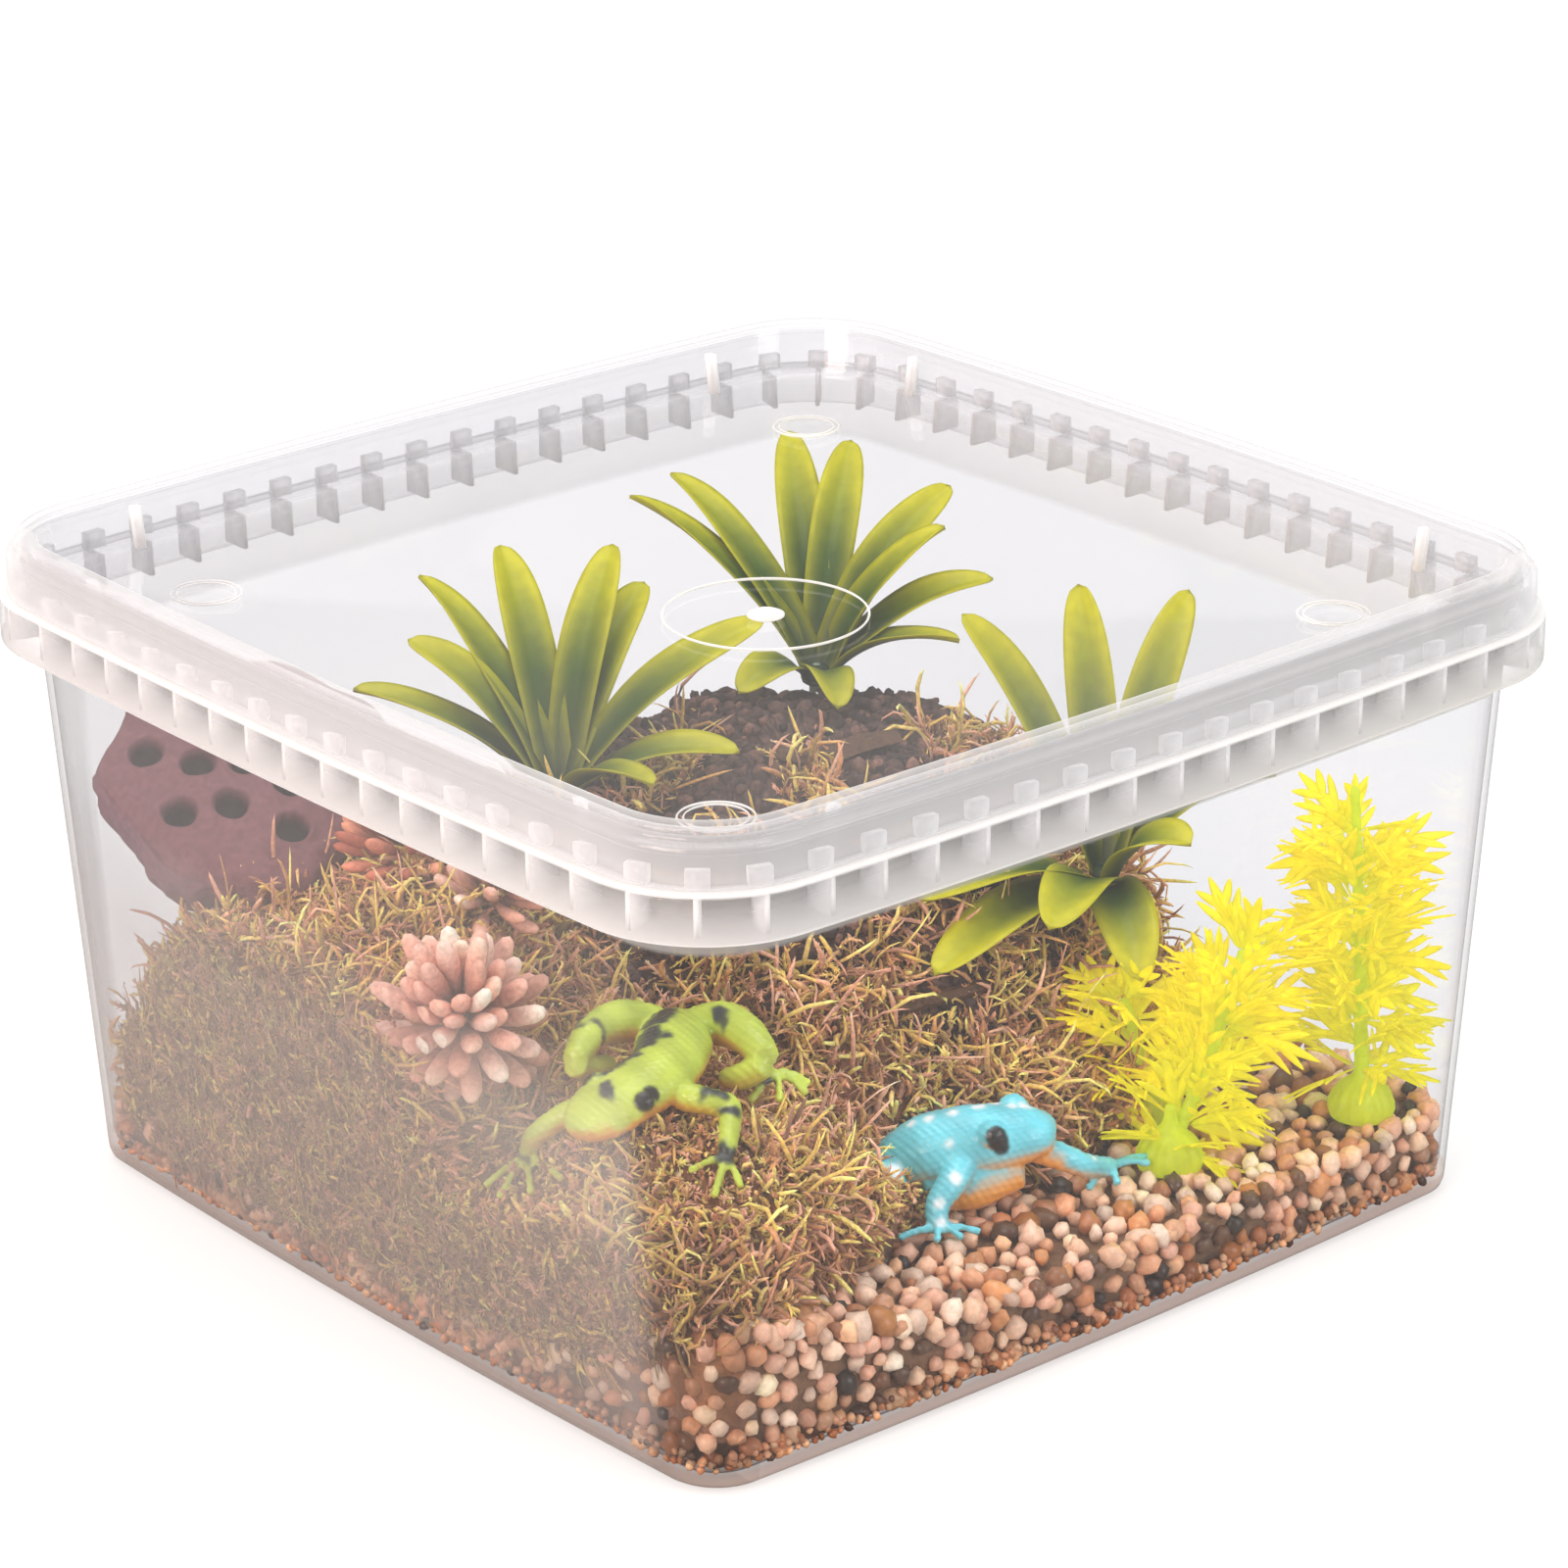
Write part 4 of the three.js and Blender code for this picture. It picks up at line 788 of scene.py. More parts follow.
def random_turns(count, local):
    """Random rotation matrices from random unit quaternions."""
    q = local.standard_normal((count, 4))
    q /= np.linalg.norm(q, axis=1, keepdims=True)
    w, x, y, z = q.T
    return np.stack([
        np.stack([1 - 2 * (y * y + z * z), 2 * (x * y - z * w), 2 * (x * z + y * w)], -1),
        np.stack([2 * (x * y + z * w), 1 - 2 * (x * x + z * z), 2 * (y * z - x * w)], -1),
        np.stack([2 * (x * z - y * w), 2 * (y * z + x * w), 1 - 2 * (x * x + y * y)], -1)], 1)


def pebbles(name, places, sizes, seed, colours=GRAVEL, material=pebble_stone, stands_for="gravel_bed",
            slot="gravel"):
    """Many pebbles: a ball of 26 points, pushed in and out at random, stretched and turned. The lowest
    ones are browner, as they lie in the shadow of the foot."""
    local = np.random.default_rng(seed)
    ball, faces = pebble_ball()
    n = len(places)
    rough = 1 + 0.115 * local.standard_normal((n, len(ball), 1)).clip(-1.8, 1.8)
    stretch = local.uniform(0.68, 1.12, (n, 1, 3))
    shape = ball[None] * rough * stretch * (sizes / 2)[:, None, None]
    shape = np.einsum("nij,nvj->nvi", random_turns(n, local), shape)
    verts = (shape + places[:, None, :]).reshape(-1, 3)
    all_faces = (faces[None] + (np.arange(n) * len(ball))[:, None, None]).reshape(-1, 3)
    depth = np.clip((8.5 - places[:, 2:]) / 4, 0, 1)
    tone = mixed(colours, n, seed + 1, 0.16) * (1 - depth * np.array([0.28, 0.44, 0.6]))
    make(name, verts, all_faces, material, stands_for, np.repeat(tone, len(ball), 0), slot, 0.01)


# Pebbles pressed against the walls, those on top of the bed, and fine grit along the foot
local = np.random.default_rng(5)
places = wall_places(26000, 3.6, 30.0, PEBBLE_GAP, local)
places = thinned(places[places[:, 2] < gravel_top(places[:, 0], places[:, 1]) - 1.2], 2.85)
pebbles("gravel_by_walls", places, local.uniform(2.7, 4.9, len(places)).clip(0, LARGEST_BY_WALL), 11)
x, y = local.uniform(-84, 84, (2, 30000))
z = gravel_top(x, y) - 1.5 + local.uniform(-0.6, 0.5, len(x))
open_ground = in_walls(x, y, z, PEBBLE_GAP) & (moss_top(x, y) < 40)
places = thinned(np.stack([x, y, z], -1)[open_ground], 3.0)
pebbles("gravel_surface", places, local.uniform(2.8, 5.2, len(places)), 13)
places = thinned(wall_places(14000, 2.8, 5.4, 0.95, local), 1.35)
pebbles("gravel_grit_at_foot", places, local.uniform(1.3, 2.0, len(places)), 15)

# Frogs: where their backs, limbs and toes run, in mm. Spots are a middle and a radius
GREEN_FROG = {
    "spine": [(-42, -26, 46.5), (-45, -29.5, 49), (-51, -37, 51), (-58, -43.5, 51), (-64.5, -44.5, 50),
              (-70, -43.8, 48.6), (-74.5, -44.8, 46.8), (-76.5, -45.8, 46)],
    "wide": [4, 9.5, 12.5, 11.5, 12.5, 14, 10.5, 4],
    "deep": [4, 8, 9.5, 8.5, 8, 6.5, 4.5, 2.5],
    "limbs": [
        ([(-45, -27, 49), (-52, -24.5, 51.5), (-60, -26.5, 52), (-67, -31.5, 50.5)], [6, 7, 5.6, 4]),
        ([(-67, -31.5, 50.5), (-62, -29, 47), (-55, -26, 45)], [4, 4.4, 3.4]),
        ([(-43, -31, 49.5), (-40.5, -36.5, 51.5), (-41.5, -44, 52), (-43.5, -51, 50.5)], [6, 7.5, 6.2, 4.4]),
        ([(-43.5, -51, 50.5), (-45.5, -47, 47), (-46, -42.5, 45.5), (-41.5, -45.5, 45.2), (-38, -46.5, 45.5)],
         [4.4, 4.4, 3, 2.6, 2.6]),
        ([(-60, -48, 49), (-57.5, -52.5, 48.6), (-54.5, -55, 47.8), (-58, -58.5, 45.5), (-61.3, -61.7, 43.4)],
         [5, 4.4, 4, 3.4, 2.8]),
        ([(-69, -40, 48), (-73.5, -36, 45), (-76.5, -33.5, 42), (-75, -30, 38), (-74.5, -28.7, 35.8)],
         [4.4, 4, 3.6, 3, 2.5])],
    "hands": [
        ((-61.3, -61.7, 43.4), [(-66.6, -65, 39.6), (-61.9, -66, 40), (-67, -59.4, 42),
                                (-64.5, -63.6, 40.2)]),
        ((-74.5, -28.7, 35.8), [(-81.6, -26.9, 32.4), (-82, -31, 31.9), (-80.6, -37.6, 34.6),
                                (-77.9, -42, 38)]),
        ((-38, -46.5, 45.5), [(-34.9, -51, 44), (-41.6, -51.4, 43), (-45.2, -48.2, 43), (-36.5, -52, 43)])],
    "eyes": [((-67.3, -48.9, 50.2), 2.4), ((-68.6, -39.6, 50.2), 2.4)],
    "pupils": [(-67.9, -50.2, 51, 1.7), (-66.2, -49.6, 51.4, 1.5), (-67.4, -48.6, 49.6, 1.5),
               (-69.2, -38.4, 50.9, 1.9)],
    "chest": [(-74, -47.5, 45.5, 3), (-69, -50, 45.5, 3), (-57, -51.5, 45.6, 1.6), (-75, -34.5, 41, 1.5)],
    "spots": [(-49.5, -32, 55.3, 4), (-53, -35, 55.6, 2.6), (-58, -38.6, 54.8, 3.6), (-62, -40, 53.6, 3.2),
              (-66, -40.6, 52, 2.1), (-70.5, -43.6, 51.2, 2), (-55.5, -41, 56, 1.5),
              (-43.2, -39.8, 54.2, 2.4), (-57.5, -52, 51, 1.8), (-56, -53.5, 50.4, 1.8),
              (-56.8, -57.6, 48, 1.6), (-61, -61, 44.6, 2.2), (-75, -29.3, 37.5, 2),
              (-40.5, -46.5, 46.5, 2.2), (-60, -27, 53, 2.4)],
    "colours": ["c9de52", "f0a93c", "3a3f3e"], "slot": "lime", "ragged": 1.6, "belly_below": -0.05,
}
BLUE_FROG = {
    "spine": [(-18, -44, 18.5), (-15.5, -47, 21.5), (-10.5, -51.6, 24.6), (-6, -55.5, 26), (-2, -58.8, 27),
              (1.8, -61.6, 27.6), (4.6, -63.6, 27.4), (5.6, -64.4, 27.2)],
    "wide": [5, 9.5, 13, 12.5, 13, 11.5, 8, 4],
    "deep": [5, 9, 12.5, 12.5, 11, 9, 6.5, 3.5],
    "limbs": [
        ([(-15, -47.5, 20.5), (-18.5, -51, 21.5), (-21.5, -53, 20.5)], [7, 7.4, 5]),
        ([(-21.5, -53, 20.5), (-22.5, -50, 18.5), (-24, -46.5, 17)], [5, 4.2, 3]),
        ([(-11, -44.5, 20.5), (-5, -44, 22), (0, -46, 21)], [7, 7, 4.6]),
        ([(0, -46, 21), (-3, -43, 18.5), (-6, -41, 17)], [4.6, 4, 3]),
        ([(-9, -58.5, 25), (-13, -60, 22.8), (-16.4, -60.3, 20.6), (-17.5, -61.3, 18.5),
          (-17.8, -62.2, 17.2)], [5.4, 5, 4.2, 3.8, 3.2]),
        ([(2.5, -61, 25), (6.5, -64.5, 23), (10.5, -66.5, 20.6), (15, -65.6, 18.6), (18, -64.6, 17.6)],
         [5, 4.6, 4, 3.6, 3]),
        ([(-14, -52.5, 19.5), (-6.5, -57.5, 20.6), (1, -62, 23.2)], [7.5, 10.5, 8])],
    "hands": [
        ((-17.8, -62.2, 17.2), [(-24.4, -59.8, 16.6), (-20.5, -64.8, 16.6), (-12.9, -66.8, 16.6),
                                (-16.5, -66.6, 16.6)]),
        ((18, -64.6, 17.6), [(25.8, -65.8, 17.2), (24, -67.6, 17.2), (15.2, -69, 16.6), (10.4, -67, 16.6)]),
        ((-24, -46.5, 17), [(-28, -49, 16.6), (-29, -45, 16.6), (-27, -42, 16.6)])],
    "eyes": [((-5.6, -61.6, 29.6), 2.6), ((2.6, -57.6, 30.4), 2.6)],
    "pupils": [(-6.6, -63.7, 30.3, 1.9), (-6.2, -63.6, 29.3, 1.8), (-5.6, -63.5, 28.2, 1.4),
               (4.4, -56.6, 31, 1.8)],
    "chest": [(-0.5, -65, 20.5, 5.2), (-5.5, -62.5, 18, 5.4), (-10, -59.5, 16.5, 4.4), (2.5, -65.5, 23, 3.4),
              (4.6, -66, 24.8, 1.9)],
    "spots": [(-11, -52, 31.4, 1.0), (-8, -54.6, 32.2, 1.0), (-4, -56.4, 32.4, 1.1), (-1, -57, 32, 0.8),
              (2.4, -60.6, 31.8, 1.1), (0.4, -59.6, 32, 0.9), (-13, -50, 30, 0.8), (-18.6, -53, 24.6, 1.3),
              (-13.4, -61.6, 24.6, 1.0), (-17.4, -62, 21.6, 0.9), (-18, -63, 18.6, 0.8),
              (-11.6, -57.5, 28.5, 0.6), (-19.8, -50.6, 24.5, 0.7), (12, -67, 22, 0.5)],
    "colours": ["6ccfdd", "f6aa4c", "f3fafb"], "slot": "sky", "ragged": 0.3, "belly_below": -0.32,
}
FROGS = {"green_frog": GREEN_FROG, "blue_frog": BLUE_FROG}
FROG_POINTS = np.concatenate(
    [np.array(plan["spine"], float) for plan in FROGS.values()]
    + [np.array(points, float) for plan in FROGS.values() for points, _ in plan["limbs"]]
    + [np.array([wrist] + tips, float) for plan in FROGS.values() for wrist, tips in plan["hands"]])

# Soil and moss ground
MOSS = np.array([1.5, 1.4, 1.4]) * palette([
    "a97f52", "c19a5c", "d0b45c", "825836", "b5865a", "9c6f48", "dcc56c", "c7a270", "a67652", "e0cc72",
    "cfa284", "b98a6a", "d6b96a", "cc9c80", "97803f"])
# Painted shade: the moss ground under the shoots takes their darker colours at 0.6, as it lies in their shade
SHADED_MOSS_FLOOR = MOSS[[3, 5, 8]] * 0.6
MOSS_DARKEST = 0.005
MOSS_LIGHT = MOSS[[1, 2, 6, 9, 10, 12, 13]]
SOIL = palette(["4a3733", "5d463f", "6e5248", "382a28", "513a37", "7a5a4d"])
CRUMBS = 2900


def soil_skin(x, y):
    """The soil surface with clods."""
    return soil_top(x, y) - 0.6 + waves(x, y, 3, (9, 5, 2.6), (0.45, 0.45, 0.35))


def moss_skin(x, y, below):
    """The moss surface with tufts, a little below its shoots."""
    return moss_top(x, y) - below + waves(x, y, 7, (8, 4), (0.6, 0.4))


def on_faces(verts, faces, count, local):
    """Random points on triangles, as many on each as its area asks: a corner plus two edge shares that
    together stay under one."""
    a, b, c = (verts[faces[:, i]] for i in range(3))
    area = np.linalg.norm(np.cross(b - a, c - a), axis=1)
    pick = local.choice(len(faces), count, p=area / area.sum())
    u, v = local.uniform(0, 1, (2, count, 1))
    over = u + v > 1
    u, v = np.where(over, 1 - u, u), np.where(over, 1 - v, v)
    return a[pick] + u * (b - a)[pick] + v * (c - a)[pick]


soil = heap_body((15, 12), SOIL_PLAN, soil_skin, 9.5, 1.2, 200, 60)
make("soil_ground", *soil, bark_mould, "soil_mound", mixed(SOIL[:4], len(soil[0]), 21, 0.2), "soil", 0.01)
local = np.random.default_rng(17)
places = on_faces(*soil, 9000, local)
x, y, z = places.T
bare = (z > gravel_top(x, y) - 1) & (~in_plan(x, y, MOSS_PLAN) | (z > moss_top(x, y) - 2)) \
    & in_walls(x, y, z, 2.2)
places = places[bare][:CRUMBS]
sizes = local.uniform(1.1, 3.6, len(places))
pebbles("bark_crumbs", places, sizes, 19, SOIL, bark_mould, "soil_mound", "soil")
moss = heap_body((-12, -12), MOSS_PLAN, lambda x, y: moss_skin(x, y, 1.6), 7.5, 1.6, 220, 60)
tone = mixed(SHADED_MOSS_FLOOR, len(moss[0]), 22, 0.25)
make("moss_ground", *moss, dried_moss, "moss_cover", tone, "moss", MOSS_DARKEST)


# Moss shoots
BRANCHLETS = 11
BRANCHLET_LENGTH, BRANCHLET_WIDTH = 1.9, 0.42


def strands(name, places, outward, length, width, seed, lift, spread, colours=MOSS, feathered=False,
            most_curl=3.4):
    """Curled moss shoots: each starts at its place, heads in a random way mixed with an outward way,
    and follows an arc; four sided, thin at both ends, light at the tip. Near a frog they are short.
    A feathered shoot carries branchlets on either side."""
    local = np.random.default_rng(seed)
    n = len(places)
    way = local.standard_normal((n, 3)) * spread
    way = unit(way + outward * lift)
    bend = unit(np.cross(way, local.standard_normal((n, 3))))
    away = np.min(np.linalg.norm(places[:, None] - FROG_POINTS[None], axis=2), axis=1)
    long = (length * local.uniform(0.55, 1.4, n) * np.clip((away - 1.5) / 9, 0.16, 1))[:, None, None]
    curl = local.uniform(0.3, most_curl, n)[:, None, None]
    way, bend = way[:, None], bend[:, None]

    def along(share):
        return long / curl * (way * np.sin(curl * share) + bend * (1 - np.cos(curl * share)))

    paths = places[:, None, :] + along(np.array([0, 0.12, 0.38, 0.64, 0.88, 1.0])[None, :, None])
    shape = width * local.uniform(0.55, 1.35, (n, 1)) * np.array([0, 0.8, 1, 0.95, 0.65, 0])
    verts, faces, each = tubes(paths, shape, shape * 0.8, local.standard_normal((n, 3)), 4)
    own = mixed(colours, n, seed + 3, 0.2)
    # Painted shade: each shoot is darker towards its root, deep among the others; its light tip is the dried
    # moss's own colour
    fade = np.tile(np.concatenate([[0.5], np.repeat([0.55, 0.7, 0.85, 1.05], 4), [1.2]]), n)[:, None]
    tone = np.repeat(own, each, 0) * fade
    make(name, held(verts), faces, dried_moss, "moss_cover", tone, "moss", MOSS_DARKEST)
    if not feathered:
        return
    line = np.linspace(0.15, 0.95, BRANCHLETS)
    share = line[None, :, None]
    first = (places[:, None] + along(share)).reshape(-1, 3)
    ahead = way * np.cos(curl * share) + bend * np.sin(curl * share)
    aside = np.cross(way, bend) * np.where(np.arange(BRANCHLETS) % 2, 1, -1)[None, :, None]
    out = unit(ahead * 0.75 + aside + 0.35 * local.standard_normal(ahead.shape)).reshape(-1, 3)
    reach = (BRANCHLET_LENGTH * local.uniform(0.6, 1.3, (n, BRANCHLETS)) * (1.15 - line)).reshape(-1, 1)
    paths = np.stack([first, first + out * reach * 0.45,
                      first + out * reach + ahead.reshape(-1, 3) * reach * 0.3], 1)
    fine = np.array([0, BRANCHLET_WIDTH, 0]) * np.ones((len(first), 1))
    verts, faces, each = tubes(paths, fine, fine * 0.7, local.standard_normal(first.shape), 3)
    # Painted shade: each branchlet is darker where it leaves the shoot; its light tip is the moss's own
    # colour
    light = np.tile(np.array([0.75, 1, 1, 1, 1.35]), len(first))[:, None]
    tone = np.repeat(np.repeat(own, BRANCHLETS, 0), each, 0) * light
    make(f"{name}_branchlets", held(verts), faces, dried_moss, "moss_cover", tone, "moss", MOSS_DARKEST)


def moss_places(count, seed):
    """Random places on the moss top, with the way out of it by how steep it is."""
    local = np.random.default_rng(seed)
    x = local.uniform(-88, 75, count)
    y = local.uniform(-88, 75, count)
    z = moss_skin(x, y, 1.0) + local.uniform(-0.6, 1.0, count)
    ok = in_plan(x, y, MOSS_PLAN) & in_walls(x, y, z, 1.2) & (soil_top(x, y) < moss_top(x, y) + 1.0) \
        & (z > gravel_top(x, y))
    x, y, z = x[ok], y[ok], z[ok]
    slope_x = (moss_top(x + 1, y) - moss_top(x - 1, y)) / 2
    slope_y = (moss_top(x, y + 1) - moss_top(x, y - 1)) / 2
    return np.stack([x, y, z], -1), unit(np.stack([-slope_x, -slope_y, np.ones_like(x)], -1))


for i, (count, width, feathered) in enumerate(((2600, 0.75, True), (2600, 0.8, True), (4200, 1.0, False),
                                               (4200, 0.6, False))):
    places, up = moss_places(24000, 100 + i)
    length = 7.5 if feathered else 5.5
    strands(f"moss_shoots_{i + 1}", places[:count], up[:count], length, width, 200 + i, 0.5, 0.9,
            feathered=feathered)
places, up = moss_places(16000, 140)
strands("moss_long_curls", places[:3200], up[:3200], 11.5, 0.75, 240, 0.7, 0.8, MOSS_LIGHT, most_curl=4.6)

# Where the moss ends its edge is filled from the gravel up, and pressed shoots show through the walls
local = np.random.default_rng(12)
corner = local.integers(0, len(MOSS_PLAN), 9000)
share = local.uniform(0, 1, (9000, 1))
edge = MOSS_PLAN[corner] * (1 - share) + MOSS_PLAN[(corner + 1) % len(MOSS_PLAN)] * share
low, high = gravel_top(*edge.T), moss_top(*edge.T)
places = np.column_stack([edge, low + (high - low) * local.uniform(0, 1, 9000)])
places = places[in_walls(*places.T, 1.2) & (high > low) & (high > soil_top(*edge.T) - 2)][:3000]
strands("moss_at_edge", places, np.array([0.2, -0.6, 0.3]), 6.5, 0.9, 241, 0.5, 0.9)
local = np.random.default_rng(9)
places = wall_places(26000, 8, 66, 1.1, local, (2, 3))
x, y, z = places.T
places = places[(z < moss_top(x, y) - 0.5) & (z > gravel_top(x, y) - 1.0) & in_plan(x, y, MOSS_PLAN)]
strands("moss_at_walls", places[:2600], np.zeros(3), 6.5, 0.9, 300, 0.0, 1.0)
strands("moss_at_walls_feathered", places[2600:5000], np.zeros(3), 7.5, 0.75, 301, 0.0, 1.0, feathered=True)


# Lotus pod
POD_AT, POD_WAY = (-65.5, 56, 71.5), (-0.3, -0.5, 1)
POD_RADIUS, POD_HEIGHT = 24.0, 36.0
POD_SIDES = 180
HOLE_RADIUS, LIP_RADIUS, HOLE_DEPTH = 2.7, 3.3, 2.2
POD_HOLES = np.array([
    [0, 0.02], [0.3, 0.14], [-0.28, 0.2], [0.04, 0.38], [0.14, -0.3], [-0.3, -0.22],
    [0.62, 0.02], [0.45, -0.42], [-0.08, -0.62], [-0.62, -0.06], [-0.5, 0.5], [0.42, 0.55]])
POD_PROFILE = np.array([
    (0.16, -1), (0.24, -0.9), (0.34, -0.8), (0.48, -0.68), (0.62, -0.54), (0.77, -0.39), (0.88, -0.25),
    (0.96, -0.14), (1, -0.05), (1.0, 0.02), (0.985, 0.06)])
POD_FACE, POD_SIDE = palette(["7c5056", "88606a"])


def turned_to(way):
    """Rotation matrix that takes +Z to a direction."""
    return np.array(Vector((0, 0, 1)).rotation_difference(Vector(way).normalized()).to_matrix())


def drawn_out(points, steps):
    """A line of points with evenly many steps along its numbering, each coordinate run straight."""
    t = np.linspace(0, len(points) - 1, steps)
    return np.stack([np.interp(t, range(len(points)), points[:, i]) for i in range(points.shape[1])], -1)


def lotus_pod():
    """A turned profile, its radius waved into seven and three lobes, with wrinkles down its sides; the
    face is a low cap pushed in at each seed hole by a smooth well with a raised lip."""
    side = drawn_out(POD_PROFILE, 60)
    face_share = np.linspace(0, 0.97, 90)[1:][::-1]
    face = np.stack([face_share, 0.06 + 0.09 * np.sqrt(np.clip(1 - face_share ** 2, 0, 1))], -1)
    profile = np.concatenate([side, face])
    w, rise = profile[:, :1], profile[:, 1:]
    turn = round_turn(POD_SIDES)
    wrinkles = 0.02 * w * np.sin(31 * turn + 3 * rise) * (rise < 0)
    r = POD_RADIUS * w * (1 + 0.05 * w ** 3 * np.cos(7 * turn + 0.8) + 0.03 * w * np.cos(3 * turn) + wrinkles)
    x, y = r * np.cos(turn), r * np.sin(turn)
    z = POD_HEIGHT * rise * np.ones_like(turn)
    # Painted shade: each seed hole is darkened almost to black in its well, and so is the point that closes
    # the middle of the face
    hole_shade = np.ones_like(z)
    on_face = (np.arange(len(profile)) >= len(side))[:, None]
    for hx, hy in POD_HOLES * POD_RADIUS:
        away = np.hypot(x - hx, y - hy)
        well = 1 / (1 + np.exp((away - HOLE_RADIUS) / 0.16))
        lip = np.exp(-((away - LIP_RADIUS) / 0.45) ** 2)
        z = z - on_face * HOLE_DEPTH * well + on_face * 0.25 * lip
        hole_shade = hole_shade * (1 - on_face * 0.97 * well)
    z = z + on_face * waves(x, y, 31, (9, 4), (0.3, 0.15))
    verts = np.concatenate([[[0, 0, -POD_HEIGHT]], np.stack([x, y, z], -1).reshape(-1, 3),
                            [[0, 0, POD_HEIGHT * 0.15 - HOLE_DEPTH]]])
    shade = np.concatenate([[1], hole_shade.ravel(), [0.2]])[:, None]
    face_mask = np.concatenate([[0], (on_face * np.ones_like(z)).ravel(), [1]])[:, None]
    tone = (POD_FACE * face_mask + POD_SIDE * (1 - face_mask)) * shade
    return held(verts @ turned_to(POD_WAY).T + np.array(POD_AT)), capped(len(profile), POD_SIDES), tone


verts, faces, tone = lotus_pod()
make("lotus_seed_pod", verts, faces, pod_skin, "lotus_pod", tone, "pod")


# Cones: place, direction, radius, height, number of scales, colours, length and width of a scale, and
# slot; in mm
TAN = palette(["f0bca8", "e6b09c", "fbd0c0", "dca48e"])
RUST = palette(["c47458", "d4866a", "ac6048", "e09a7a"])
CONES = {
    "cone_front": ((-74.5, -14, 54), (-0.5, -0.5, 0.7), 12, 30, 84, TAN, 10.6, 3.5, "cone"),
    "cone_upper": ((-52, 8, 62), (0.2, -0.4, 0.9), 8, 17, 52, TAN, 8.4, 2.8, "cone"),
    "cone_rust": ((-57, 23, 66), (-0.3, 0.5, 0.8), 9, 16, 52, RUST, 8.2, 2.8, "rustCone"),
}


def finger_cone(at, way, radius, height, scales, colours, long, wide, seed):
    """Blunt scales in a golden spiral over a ball: each is a flattened bar, widest near its end."""
    local = np.random.default_rng(seed)
    share = (np.arange(scales) + 0.5) / scales
    climb = np.pi * (0.1 + 0.8 * share) - np.pi / 2
    turn = np.arange(scales) * np.pi * (3 - 5 ** 0.5) + local.normal(0, 0.08, scales)
    out = np.stack([np.cos(turn) * np.cos(climb), np.sin(turn) * np.cos(climb), np.sin(climb)], -1)
    start = out * np.array([radius * 0.25, radius * 0.25, height * 0.3])
    size = long * local.uniform(0.8, 1.15, (scales, 1, 1))
    t = np.array([0, 0.12, 0.35, 0.6, 0.82, 0.95, 1.0])[None, :, None]
    paths = start[:, None] + out[:, None] * t * size + np.array([0, 0, 1.0]) * t ** 2 * size * 0.3
    shape = np.array([0, 0.55, 0.8, 1.0, 0.95, 0.6, 0]) * wide
    verts, faces, each = tubes(paths, shape, shape * 0.75, out + np.array([0, 0, 0.01]), 8)
    # Painted shade: each scale is darker towards its root, deep among the others; its light, chalky end is
    # the wood's own colour
    fade = np.concatenate([[0.45], np.repeat([0.5, 0.7, 0.95, 1.15, 1.25], 8), [1.3]])
    tone = np.repeat(mixed(colours, scales, seed, 0.12), each, 0) * np.tile(fade, scales)[:, None]
    return held(verts @ turned_to(way).T + np.array(at)), faces, tone


for cone, (*sizes, slot) in CONES.items():
    verts, faces, tone = finger_cone(*sizes, len(cone))
    make(f"{cone}_scales", verts, faces, cone_wood, cone, tone, slot)


# Plants: crown, then the reach of each leaf as shares of the leaf span, lower and upper
LEAF_SPAN = 50.0
LEAF_WIDTH, BROAD_LEAF_WIDTH, LEAF_THICK = 8.4, 10.6, 0.55
UPPER_LEAVES_UP = 1.9
PLANTS = {
    "plant_back": ((42, 36, 68), [
        (0.45, -0.13, 0.49), (0.56, -0.26, 0.31), (0.29, -0.38, 0.18),
        (-0.19, -0.33, 0.05), (-0.37, -0.05, 0.07)],
        [(-0.24, 0.68, 0.52), (-0.02, 0.73, 0.54), (0.5, 0.72, 0.58), (0.6, 0.5, 0.58), (0.67, 0.07, 0.5)]),
    "plant_left": ((-22, 28, 65), [
        (-0.46, 0.46, 0.38), (0.39, -0.43, 0.2), (0.06, -0.39, 0.16), (-0.23, 0.46, 0.5)],
        [(-0.03, 0.67, 0.58), (0.28, 0.64, 0.62), (0.56, 0.4, 0.62), (0.61, 0.3, 0.5), (0.7, -0.2, 0.48)]),
    "plant_right": ((46, -33, 50), [
        (0.1, -0.27, 0.2), (-0.5, -0.28, 0.08), (-0.78, 0.02, 0.16),
        (-0.86, -0.13, -0.03), (-0.22, -0.4, -0.15)],
        [(-0.12, 0.54, 0.8), (0.34, 0.49, 0.8), (0.62, 0.26, 0.78), (0.6, -0.17, 0.24)]),
}
LEAF_DARK, LEAF_MID, LEAF_EDGE, LEAF_TIP = palette(["2b4216", "577c14", "d3da18", "f0e204"])


